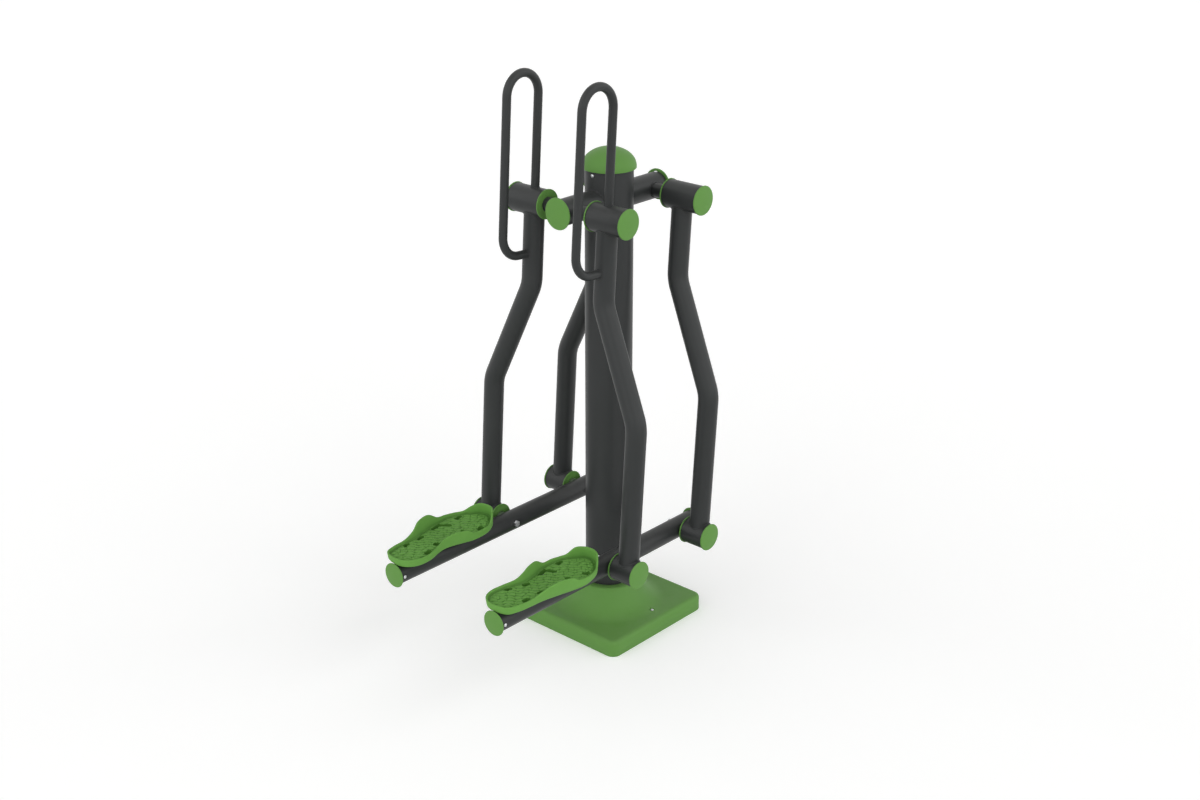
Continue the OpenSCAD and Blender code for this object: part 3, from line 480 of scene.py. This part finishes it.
def post():
    """The post's tube with a rounded top edge."""
    bore, foot, edge = POST_R - POST_WALL, FLANGE_T + GAP, 1.2
    rim = arc(POST_R - edge, POST_TOP - edge, edge, 0, 90, 4)
    profile = [(bore, foot), (POST_R, foot)] + rim + [(bore, POST_TOP)]
    rings = [circle(r, 128, z) for r, z in profile]
    piece = closed_mesh("post_tube", rings, "dark_paint", loop=True)
    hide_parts("post")
    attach(piece, "frame")


def post_dome():
    """The post's domed cap: a hollow plug, a rounded lower rim and the dome."""
    steps, rise = 28, DOME_H - DOME_LIP
    plug_r, plug_bore = POST_R - 4.2, POST_R - 7.0
    plug = [(plug_bore, -DOME_PLUG_L), (plug_r, -DOME_PLUG_L), (plug_r, 0.2)]
    rim = arc(DOME_R - 1.0, 1.2, 1.0, -90, 0, 4)
    angles = [math.radians(90 * k / steps) for k in range(steps)]
    dome = [(DOME_R * math.cos(a), DOME_LIP + rise * math.sin(a)) for a in angles]
    place = Matrix.Translation((0, 0, POST_TOP + GAP))
    piece = turned("post_dome", plug + rim + dome + [(0, DOME_H)], "green_plastic", place, 128)
    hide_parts("post_cap")
    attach(piece, "frame")


def cover_ring(half, corner, z):
    """A rounded square as a ring of points, by its half width and corner radius."""
    corner_steps, straight_steps = 14, 22
    corner = max(corner, 0.5)
    middle = half - corner
    angles = [math.radians(90.0 * k / corner_steps) for k in range(corner_steps + 1)]
    side = [(middle + corner * math.cos(a), middle + corner * math.sin(a)) for a in angles]
    side += [(middle - 2 * middle * k / straight_steps, half) for k in range(1, straight_steps)]
    ring = []
    for c, s in ((1, 0), (0, 1), (-1, 0), (0, -1)):
        ring += [(x * c - y * s, x * s + y * c, z) for x, y in side]
    return ring


def mound_profile():
    """The mound from its bore to the flat top: mouth, rounded lip, straight flank, hollow foot."""
    bore = POST_R + 0.6   # clear of the post
    mouth = [(bore, MOUND_TOP_Z - 6), (bore + 0.3, MOUND_TOP_Z - 0.6), (bore + 1, MOUND_TOP_Z)]
    back = math.tan(math.radians(MOUND_SLOPE / 2))
    lip = arc(MOUND_RING_R - MOUND_LIP_R * back, MOUND_TOP_Z - MOUND_LIP_R, MOUND_LIP_R,
              90, 90 - MOUND_SLOPE, 8)
    reach = MOUND_RING_R + (MOUND_TOP_Z - COVER_H) / math.tan(math.radians(MOUND_SLOPE))
    hollow_r = (MOUND_END_R - reach) / back
    hollow = arc(MOUND_END_R, COVER_H + hollow_r, hollow_r, 270 - MOUND_SLOPE, 270, 20)
    steps, (r0, z0), (r1, z1) = 8, lip[-1], hollow[0]
    flank = [(r0 + (r1 - r0) * k / steps, z0 + (z1 - z0) * k / steps) for k in range(1, steps)]
    return mouth + lip + flank + hollow


def base_cover():
    """The moulded cover: mound, flat top, rounded edges, a wall, and two pads with screw seats."""
    half = COVER_W / 2
    angles = [math.atan2(y, x) for x, y, _ in cover_ring(half, COVER_CORNER_R, 0)]
    mound = mound_profile()
    rings = [[(r * math.cos(a), r * math.sin(a), z) for a in angles] for r, z in mound]

    edge, corner = half - COVER_EDGE_R, COVER_CORNER_R - COVER_EDGE_R
    last, square, steps = mound[-1][0], cover_ring(edge, corner, COVER_H), 6
    for k in range(1, steps + 1):
        share = k / steps
        rings.append([((1 - share) * last * math.cos(a) + share * x,
                       (1 - share) * last * math.sin(a) + share * y, z)
                      for a, (x, y, z) in zip(angles, square)])
    for r, z in arc(0, COVER_H - COVER_EDGE_R, COVER_EDGE_R, 90, 0, 8)[1:]:
        rings.append(cover_ring(edge + r, corner + r, z))
    foot_edge, foot_h = 0.8, 1.5
    rings.append(cover_ring(half, COVER_CORNER_R, foot_h))
    rings.append(cover_ring(half - foot_edge, COVER_CORNER_R - foot_edge, GAP))

    outer = closed_mesh("base_cover_shell", rings, "green_plastic", cap_ends=False, sharp=60)
    outer.data.flip_normals()
    wall = outer.modifiers.new("wall", "SOLIDIFY")
    wall.thickness, wall.offset = COVER_WALL * MM, -1
    bpy.context.view_layer.objects.active = outer
    bpy.ops.object.modifier_apply(modifier="wall")
    pad = [(0, -COVER_WALL), (PAD_R, -COVER_WALL), (PAD_R, -0.02), (0, -0.02)]
    sink = [(0, -0.1), (SINK_R, -0.1), (SINK_R, 1.5), (SINK_R + 0.4, 9), (0, 9)]
    pads, sinks = [], []
    for s in ENDS.values():
        seat = Matrix.Translation((-s * COVER_SCREW[0], -s * COVER_SCREW[1], COVER_H))
        pads.append(turned("pad", pad, "green_plastic", seat, 48))
        sinks.append(turned("sink", sink, "green_plastic", seat, 48))
    carved(outer, pads, "UNION")
    carved(outer, sinks, "DIFFERENCE")
    outer.data.set_sharp_from_angle(angle=math.radians(50))
    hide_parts("base_cover")
    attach(outer, "frame")


def button_screw(name, seat, axis, body):
    """A button-head screw with a hexagon socket; seat is in millimetres, axis points out."""
    count = 48
    face = Vector(axis).to_track_quat("Z", "Y").to_matrix().to_4x4()
    place = Matrix.Translation(Vector(seat)) @ face

    def key_ring(radius, share):
        """A hexagon with as many points as the head's circles, at a share of its height."""
        out = []
        for a in turn_angles(count):
            fold = (a + math.pi / 6) % (math.pi / 3) - math.pi / 6
            r = radius * math.cos(math.pi / 6) / math.cos(fold)
            out.append((r * math.cos(a), r * math.sin(a), SCREW_HEAD_H * share))
        return out

    def head_ring(radius_share, share):
        """A circle of the head, as shares of its radius and height."""
        return circle(SCREW_HEAD_R * radius_share, count, SCREW_HEAD_H * share)

    rings = [head_ring(0.94, 0), head_ring(1, 0.12)]
    for a in (0, 15, 30, 45, 58):
        rings.append(head_ring(math.cos(math.radians(a)), 0.25 + 0.75 * math.sin(math.radians(a))))
    rings += [key_ring(SCREW_KEY_R + 0.25, 0.93), key_ring(SCREW_KEY_R, 0.84),
              key_ring(SCREW_KEY_R, 0.25)]
    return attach(closed_mesh(name, rings, "bright_steel", place, sharp=35), body)


def fixed_screws():
    """The screws of the post cap, the crossbar caps and the base cover."""
    screw = button_screw("post_cap_button", (0, -POST_R, POST_TOP - SCREW_INSET), (0, -1, 0),
                         "frame")
    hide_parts("post_cap_screw")
    for end, s in ENDS.items():
        seat = (0, s * (CROSSBAR_L - SCREW_INSET) / 2, CROSSBAR_Z + CROSSBAR_R)
        screw = button_screw(f"crossbar_{end}_button", seat, (0, 0, 1), "frame")
        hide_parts("crossbar_cap_screws")
        seat = (-s * COVER_SCREW[0], -s * COVER_SCREW[1], COVER_H + GAP)
        screw = button_screw(f"cover_{end}_button", seat, (0, 0, 1), "frame")
        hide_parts("cover_screws")


def frame_welds():
    """Beads where the crossbar meets the post and where the axle bosses meet the crossbar."""
    for end, s in ENDS.items():
        along = Matrix.Rotation(math.radians(-90 * s), 4, "X")
        weld_bead(f"crossbar_{end}_weld", saddle_upright(CROSSBAR_R, POST_R), "frame",
                  CROSSBAR_WELD_W, Matrix.Translation((0, 0, CROSSBAR_Z)) @ along)
        for side, k in SIDES.items():
            out = Matrix.Rotation(math.radians(90 * k), 4, "Y")
            weld_bead(f"boss_{end}_{side}_weld", saddle_across(BOSS_R, CROSSBAR_R), "frame",
                      TUBE_WELD_W, Matrix.Translation((0, s * PIVOT_Y, CROSSBAR_Z)) @ out)


# ---------- moulded caps ----------

def moulded_cap(name, place, radius, thickness, bore_r, plug_l, node, body):
    """A push-in cap: plug, rounded rim and a shallow dome with a soft step near the rim."""
    plug_r = bore_r - PLUG_CLEARANCE
    rim_h, dome_h = thickness * 0.6, thickness * 0.4
    rim, steps = rim_h / 2, 24
    profile = [(plug_r - 3, -plug_l), (plug_r - 0.6, -plug_l), (plug_r, -plug_l + 1), (plug_r, 0),
               (radius - rim, 0)]
    profile += arc(radius - rim, rim, rim, -80, 75, 9)
    flat = radius - rim * 0.74
    for k in range(1, steps + 1):
        s = 1 - k / steps
        profile.append((flat * s, rim_h + dome_h * (1 - s * s) ** 1.1))
    piece = turned(name, profile, "green_plastic", place)
    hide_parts(node)
    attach(piece, body)


def sleeve_caps():
    """The outer caps of the upper and lower sleeves."""
    levels = (("upper", UPPER_X + UPPER_L, 0, UPPER_CAP_R, UPPER_BORE_R),
              ("lower", LOWER_X + LOWER_L, -ARM_L, LOWER_CAP_R, LOWER_BORE_R))
    for side in SIDES:
        for end in ENDS:
            node, body = f"{side}_{end}_sleeve_caps", f"{side}_{end}_arm"
            for level, x, z, cap_r, bore_r in levels:
                place = arm_place(side, end) @ Matrix.Translation((x + GAP, 0, z)) @ ALONG_X
                moulded_cap(f"{side}_{end}_{level}_cap", place, cap_r, SLEEVE_CAP_T, bore_r,
                            SLEEVE_PLUG_L, node, body)


def bar_caps():
    """The end caps of the crossbar and of the pedal beams."""
    for end, s in ENDS.items():
        place = (Matrix.Translation((0, s * (CROSSBAR_L / 2 + GAP), CROSSBAR_Z))
                 @ Matrix.Rotation(math.radians(-90 * s), 4, "X"))
        moulded_cap(f"crossbar_{end}_cap", place, CROSSBAR_CAP_R, CROSSBAR_CAP_T, CROSSBAR_BORE_R,
                    BAR_PLUG_L, "crossbar_caps", "frame")
    for side in SIDES:
        for end, y, turn in (("front", -BEAM_FRONT - GAP, 90), ("rear", BEAM_END + GAP, -90)):
            place = (beam_place(side) @ Matrix.Translation((BEAM_X, y, -BEAM_DROP))
                     @ Matrix.Rotation(math.radians(turn), 4, "X"))
            moulded_cap(f"{side}_beam_{end}_cover", place, BEAM_CAP_R, BEAM_CAP_T, BEAM_BORE_R,
                        BAR_PLUG_L, f"{side}_beam_{end}_cap", f"{side}_pedal_beam")


# ---------- arms and handles ----------

def arm_line():
    """The middle line of a double-bent arm with true round bends."""
    steps = 14
    lean = math.degrees(math.atan2(ARM_FOOT_X - ARM_TOP_X, BEND_FOOT - BEND_TOP))
    cut = BEND_R * math.tan(math.radians(lean / 2))
    line = [(ARM_TOP_X, -BAR_START)]
    line += arc(ARM_TOP_X + BEND_R, cut - BEND_TOP, BEND_R, 180, 180 + lean, steps)
    line += arc(ARM_FOOT_X - BEND_R, -BEND_FOOT - cut, BEND_R, lean, 0, steps)
    line += [(ARM_FOOT_X, -ARM_L + BAR_START)]
    return [Vector((x, 0, z)) for x, z in line]


def arms():
    """The four bent arm tubes, each with a weld bead at both sleeves."""
    meet_top, meet_foot = on_sleeve(UPPER_R, -1), on_sleeve(LOWER_R, 1, -ARM_L)
    down = Matrix.Rotation(math.radians(180), 4, "X")
    for side in SIDES:
        for end in ENDS:
            place, body = arm_place(side, end), f"{side}_{end}_arm"
            piece = round_bar(f"{side}_{end}_arm_bar", arm_line(), ARM_R, "dark_paint", place,
                              64, meet_top, meet_foot)
            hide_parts(f"{side}_{end}_arm_tube")
            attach(piece, body)
            weld_bead(f"{side}_{end}_top_weld", saddle_across(ARM_R, UPPER_R), body, TUBE_WELD_W,
                      place @ Matrix.Translation((ARM_TOP_X, 0, 0)) @ down)
            weld_bead(f"{side}_{end}_foot_weld", saddle_across(ARM_R, LOWER_R), body, TUBE_WELD_W,
                      place @ Matrix.Translation((ARM_FOOT_X, 0, -ARM_L)))


def handle_line():
    """The middle line of a handle: up from the sleeve, over, down on the user's side and back
    in to the arm."""
    turn, foot_y = HANDLE_W / 2, -24
    line = [(0, BAR_START)] + arc(-turn, HANDLE_UP - turn, turn, 0, 180, 30)
    line += arc(-turn, turn - HANDLE_DOWN, turn, 180, 270, 16) + [(foot_y, -HANDLE_DOWN)]
    return [Vector((ARM_TOP_X, y, z)) for y, z in line]


def handles():
    """The two loop handles with a weld bead at the sleeve and at the arm."""

    def meet_arm(p):
        """Moves one point of the handle's end ring on to the arm."""
        reach = math.sqrt((ARM_R - BAR_BITE) ** 2 - (p.x - ARM_TOP_X) ** 2)
        return Vector((p.x, -reach, p.z))

    meet_sleeve = on_sleeve(UPPER_R, 1)
    lean = Matrix.Rotation(math.radians(90), 4, "X")
    for side in SIDES:
        place, body = arm_place(side, "front"), f"{side}_front_arm"
        piece = round_bar(f"{side}_handle_bar", handle_line(), HANDLE_R, "dark_paint", place,
                          40, meet_sleeve, meet_arm)
        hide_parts(f"{side}_handle")
        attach(piece, body)
        weld_bead(f"{side}_handle_top_weld", saddle_across(HANDLE_R, UPPER_R, 96), body,
                  HANDLE_WELD_W, place @ Matrix.Translation((ARM_TOP_X, 0, 0)))
        weld_bead(f"{side}_handle_foot_weld", saddle_upright(HANDLE_R, ARM_R, 96), body,
                  HANDLE_WELD_W, place @ Matrix.Translation((ARM_TOP_X, 0, -HANDLE_DOWN)) @ lean)


# ---------- pedal beams ----------

def beam_fittings():
    """The cap screws of both pedal beams and the weld beads round their axle pins."""
    for side, k in SIDES.items():
        body, place = f"{side}_pedal_beam", beam_place(side)
        for end, y in (("front", SCREW_INSET - BEAM_FRONT), ("rear", BEAM_END - SCREW_INSET)):
            seat = lower_pivot() + Vector((k * BEAM_X + BEAM_R, y, -BEAM_DROP))
            screw = button_screw(f"{side}_beam_{end}_button", seat, (1, 0, 0), body)
            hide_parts(f"{side}_beam_cap_screws")
        for end, y in (("front", 0), ("rear", 2 * PIVOT_Y)):
            weld_bead(f"{side}_axle_{end}_weld", saddle_on_beam(SHOULDER_R, BEAM_R), body,
                      AXLE_WELD_W, place @ Matrix.Translation((BEAM_X, y, 0)))


# ---------- footplates ----------

# The sole's outline, the same as in the frame. Each knot is its place along and across, the
# height of the edge there and how far the edge leans out, as shares of the footplate's sizes.
SOLE = [
    (0.002, -0.03, 0.46, 0.46), (0.030, 0.26, 0.46, 0.50), (0.125, 0.355, 0.46, 0.46),
    (0.231, 0.385, 0.47, 0.47), (0.333, 0.40, 0.69, 0.69), (0.431, 0.45, 0.98, 1.00),
    (0.553, 0.52, 0.97, 1.00), (0.635, 0.565, 0.60, 0.60), (0.712, 0.58, 0.52, 0.52),
    (0.790, 0.54, 0.49, 0.49), (0.862, 0.465, 0.49, 0.40), (0.915, 0.37, 0.74, 0.20),
    (0.962, 0.245, 0.92, 0.10), (0.985, 0.07, 0.93, 0.05), (0.972, -0.095, 0.94, 0.05),
    (0.922, -0.235, 0.90, 0.10), (0.870, -0.325, 0.56, 0.30), (0.820, -0.385, 0.48, 0.45),
    (0.744, -0.42, 0.50, 0.50), (0.662, -0.42, 0.52, 0.52), (0.590, -0.375, 0.84, 0.84),
    (0.495, -0.30, 0.90, 0.90), (0.410, -0.27, 0.78, 0.78), (0.333, -0.315, 0.57, 0.57),
    (0.236, -0.40, 0.47, 0.47), (0.146, -0.42, 0.46, 0.46), (0.070, -0.365, 0.46, 0.46),
    (0.018, -0.225, 0.46, 0.46),
]
# Drain slots: half width in millimetres, then the line that the slot follows, as shares along
# and across. The first six are straight, the last two bend.
SLOTS = [
    (7.8, (0.198, 0.275), (0.224, 0.29)), (7.8, (0.228, -0.28), (0.254, -0.27)),
    (7.8, (0.346, 0.285), (0.370, 0.30)), (7.8, (0.360, -0.15), (0.384, -0.14)),
    (7.8, (0.770, 0.39), (0.796, 0.40)), (7.8, (0.756, -0.295), (0.782, -0.285)),
    (8.0, (0.530, 0.41), (0.602, 0.44), (0.642, 0.26)),
    (7.0, (0.550, -0.23), (0.618, -0.28), (0.652, -0.11)),
]
# The lower edge: height and inset from the outer wall, in millimetres
PLATE_UNDER_EDGE = [(0.0, 9.0), (0.0, 4.5), (0.9, 2.0), (3.2, 0.4)]
PLATE_FILLET_R, PLATE_DRAFT = 5, 0.5
# The tread's height, the pitch of its bands, the length of a lozenge, and how far from the
# wall the tread reaches its full height
TREAD_H, TREAD_PITCH, TREAD_RUN, TREAD_FADE = 3.6, 15.0, 25.0, 7.0


def sole_outline(steps):
    """The footplate's outline as a closed smooth curve: across, along, edge height and lean."""
    knots = [Vector((across * PLATE_W, along * PLATE_L, edge * PLATE_EDGE, lean))
             for along, across, edge, lean in SOLE]
    n, out = len(knots), []
    for k in range(n):
        a, b, c, d = knots[k - 1], knots[k], knots[(k + 1) % n], knots[(k + 2) % n]
        for s in range(steps):
            t = s / steps
            out.append((2 * b + (c - a) * t + (2 * a - 5 * b + 4 * c - d) * t * t
                        + (3 * b - a - 3 * c + d) * t ** 3) / 2)
    return out


def tread(x, y):
    """Height of the wavy tread above the floor: bent bands, each broken into lozenges."""
    u, v = 0.74 * x + 0.67 * y, 0.74 * y - 0.67 * x   # along and across the bands
    long_wave, short_wave = 2.6 * math.sin(u / 8.0), 1.5 * math.sin(u / 3.9 + v / 7.0)
    band = (v + long_wave + short_wave) / TREAD_PITCH
    row = math.floor(band)
    shift, stretch = 9.0 * math.sin(2.4 * row), 5.0 * math.sin(1.7 * row)
    along = (u + shift) / (TREAD_RUN + stretch)
    notch, swell, groove, flank = 0.38, 0.62, 0.16, 0.4
    cell = abs(math.sin(math.pi * band)) * (notch + swell * abs(math.sin(math.pi * along)))
    rise = min(max((cell - groove) / flank, 0.0), 1.0)
    return TREAD_H * rise * rise * (3 - 2 * rise)


def footplate_shell(side):
    """A footplate: rounded lower edge, leaning wall, beaded rim, tread and drain slots."""
    sole = sole_outline(14)
    n = len(sole)
    normals = []
    for k in range(n):
        d = sole[(k + 1) % n] - sole[k - 1]
        normals.append(Vector((d.y, -d.x, 0)).normalized())

    def ring(height, inset):
        """height(edge) gives z for the local edge height; inset is from the outer wall."""
        out = []
        for p, q in zip(sole, normals):
            z = height(p.z)
            lean = PLATE_LEAN * max(z, 0.0) * p.w
            out.append(Vector((p.x + q.x * (lean - inset), p.y + q.y * (lean - inset), z)))
        return out

    bead, fillet, foot = PLATE_WALL / 2, PLATE_FILLET_R, PLATE_UNDER_EDGE[-1][0]
    rounded = 6.0   # of the edge height, kept for the rounded foot and rim
    rings = [ring(lambda e, z=z: z, inset) for z, inset in PLATE_UNDER_EDGE]
    rings += [ring(lambda e, s=s: foot + (e - rounded) * s, 0.0) for s in (0.25, 0.5, 0.75, 1.0)]
    for a in (20, 45, 70, 90, 110, 135, 160):
        rings.append(ring(lambda e, a=a: e - bead + bead * math.sin(math.radians(a)),
                          bead - bead * math.cos(math.radians(a))))
    for s in (0.3, 0.6, 0.9):
        rings.append(ring(lambda e, s=s: max(e - bead - (e - bead - PLATE_FLOOR - fillet) * s,
                                             PLATE_FLOOR + fillet * (1 - s)),
                          PLATE_WALL + PLATE_DRAFT * s))
    for a in (15, 35, 55, 75, 90):
        c, s = math.cos(math.radians(a)), math.sin(math.radians(a))
        rings.append(ring(lambda e, s=s: PLATE_FLOOR + fillet - fillet * s,
                          PLATE_WALL + PLATE_DRAFT + fillet * (1 - c)))
    rings += tread_rings(rings[-1], side)

    place = beam_place(side) @ Matrix.Translation((BEAM_X, -PLATE_HEEL, PLATE_Z - BEAM_DROP))
    piece = closed_mesh(f"{side}_footplate_shell", rings, "green_footplate", place, sharp=50)
    cutters = [slot_cutter([Vector((b * PLATE_W, a * PLATE_L)) for a, b in line], half, place)
               for half, *line in SLOTS]
    carved(piece, cutters, "DIFFERENCE")
    piece.data.set_sharp_from_angle(angle=math.radians(50))
    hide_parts(f"{side}_footplate")
    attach(piece, f"{side}_pedal_beam")


def tread_rings(inner, side):
    """Rings of the floor that shrink from its border to a middle line and carry the tread."""
    loops, reach = 50, 0.995
    middle_x, middle_from, middle_to = 0.02 * PLATE_W, 0.16 * PLATE_L, 0.86 * PLATE_L
    middle = [Vector((middle_x, min(max(p.y, middle_from), middle_to), PLATE_FLOOR))
              for p in inner]
    rings = []
    for j in range(1, loops + 1):
        share = j / loops
        row = []
        for p, m in zip(inner, middle):
            q = p.lerp(m, share * reach)
            fade = min(1.0, (p - q).length / TREAD_FADE)
            q.z = PLATE_FLOOR + fade * tread(SIDES[side] * q.x, q.y)
            row.append(q)
        rings.append(row)
    return rings


def slot_cutter(line, half, place):
    """The cutter of one drain slot: a round-ended hole along a line, with a softened mouth."""

    def flank(points, r):
        """One long side of the slot, mitred at its bends."""
        out = []
        for k, p in enumerate(points):
            before = (p - points[k - 1]).normalized() if k else (points[1] - p).normalized()
            after = (points[k + 1] - p).normalized() if k + 1 < len(points) else before
            m = (before + after).normalized()
            out.append(p + Vector((m.y, -m.x)) * r / max(m.dot(before), 0.3))
        return out

    def round_end(p, heading, r):
        """The points of a round end between its two sides."""
        turns = [math.radians(a) for a in (-72, -45, -18, 18, 45, 72)]
        flat = Vector((heading.y, -heading.x))
        return [p + flat * r * -math.sin(a) + heading * r * math.cos(a) for a in turns]

    def outline(r, z):
        """The slot's closed outline at a half width and a height."""
        ring = flank(line, r) + round_end(line[-1], (line[-1] - line[-2]).normalized(), r)
        ring += flank(line[::-1], r) + round_end(line[0], (line[0] - line[1]).normalized(), r)
        return [(p.x, p.y, z) for p in ring]

    under, over = -2, PLATE_FLOOR + 6
    rings = [outline(half, under), outline(half, PLATE_FLOOR - 1),
             outline(half + 0.6, PLATE_FLOOR + 0.2), outline(half + 1, over)]
    # the slot's walls take the darker green of painted shade
    return closed_mesh("slot_cutter", rings, "green_footplate", place, SLOT_SHADE)


# ---------- nodes of the frame ----------

def frame_nodes():
    """Every node of the frame gets the finish of its slot, also those that are replaced later."""
    slots = {row["node"]: row.get("material_slot") for row in frame["record"]["subparts"]}
    for name, node in frame["nodes"].items():
        node.data.materials.clear()
        node.data.materials.append(MATERIALS[slots[name]])


# ---------- stage ----------

def direction(azimuth, elevation):
    """The way out to a lamp or the camera; azimuth 0 is -Y and 90 is +X."""
    a, e = math.radians(azimuth), math.radians(elevation)
    return Vector((math.sin(a) * math.cos(e), -math.cos(a) * math.cos(e), math.sin(e)))


def pale_floor():
    """A wide floor that shows as white as the background, with a soft shadow under the part."""
    mesh, half = bpy.data.meshes.new("floor"), FLOOR_HALF_W
    corners = [(-half, -half, 0), (half, -half, 0), (half, half, 0), (-half, half, 0)]
    mesh.from_pydata(corners, [], [(0, 1, 2, 3)])
    floor = bpy.data.objects.new("floor", mesh)
    bpy.context.scene.collection.objects.link(floor)
    pale = bpy.data.materials.new("Pale floor")
    pale.use_nodes = True
    tree = pale.node_tree
    shader = tree.nodes["Principled BSDF"]
    shader.inputs["Base Color"].default_value = FLOOR_COLOUR
    shader.inputs["Roughness"].default_value = 0.9
    shader.inputs["Specular IOR Level"].default_value = 0.0
    shader.inputs["Emission Color"].default_value = (1, 1, 1, 1)
    glow = maths(tree, "MULTIPLY", seen_or_mirrored(tree), FLOOR_GLOW)
    tree.links.new(glow, shader.inputs["Emission Strength"])
    floor.data.materials.append(pale)


def studio_world():
    """White where it is seen or mirrored; for all other rays a soft light, stronger low down."""
    world = bpy.data.worlds.new("Studio")
    bpy.context.scene.world = world
    world.use_nodes = True
    tree = world.node_tree
    plain = tree.nodes["Background"]
    plain.inputs["Color"].default_value = (1, 1, 1, 1)
    way = tree.nodes.new("ShaderNodeSeparateXYZ")
    tree.links.new(tree.nodes.new("ShaderNodeTexCoord").outputs["Generated"], way.inputs[0])
    up = maths(tree, "MAXIMUM", way.outputs["Z"], 0.0)
    low = maths(tree, "POWER", maths(tree, "SUBTRACT", 1.0, up), SKY_FALL)
    soft = maths(tree, "ADD", maths(tree, "MULTIPLY", low, SKY_LOW), SKY_TOP)
    seen = seen_or_mirrored(tree)
    rest = maths(tree, "MULTIPLY", soft, maths(tree, "SUBTRACT", 1.0, seen))
    tree.links.new(maths(tree, "ADD", rest, seen), plain.inputs["Strength"])


def lamps():
    """Four wide suns."""
    for name, (azimuth, elevation, strength, angle) in LAMPS.items():
        lamp = bpy.data.lights.new(name, "SUN")
        lamp.energy, lamp.angle = strength, math.radians(angle)
        light = bpy.data.objects.new(name, lamp)
        back = direction(azimuth, elevation)
        light.rotation_euler = back.to_track_quat("Z", "Y").to_euler()
        bpy.context.scene.collection.objects.link(light)


def photo_camera():
    """The camera of the photograph."""
    lens = bpy.data.cameras.new("camera")
    lens.sensor_width, lens.lens = SENSOR, LENS
    lens.clip_start, lens.clip_end = 0.1, 200.0
    camera = bpy.data.objects.new("camera", lens)
    back = direction(VIEW_AZIMUTH, VIEW_ELEVATION)
    camera.location = Vector(VIEW_TARGET) * MM + back * VIEW_DISTANCE
    camera.rotation_euler = back.to_track_quat("Z", "Y").to_euler()
    bpy.context.scene.collection.objects.link(camera)
    bpy.context.scene.camera = camera
    bpy.context.scene.view_settings.view_transform = "Standard"


pale_floor()
studio_world()
lamps()
photo_camera()
frame_nodes()
post()
post_dome()
base_cover()
fixed_screws()
frame_welds()
sleeve_caps()
bar_caps()
arms()
handles()
beam_fittings()
for plate_side in SIDES:
    footplate_shell(plate_side)
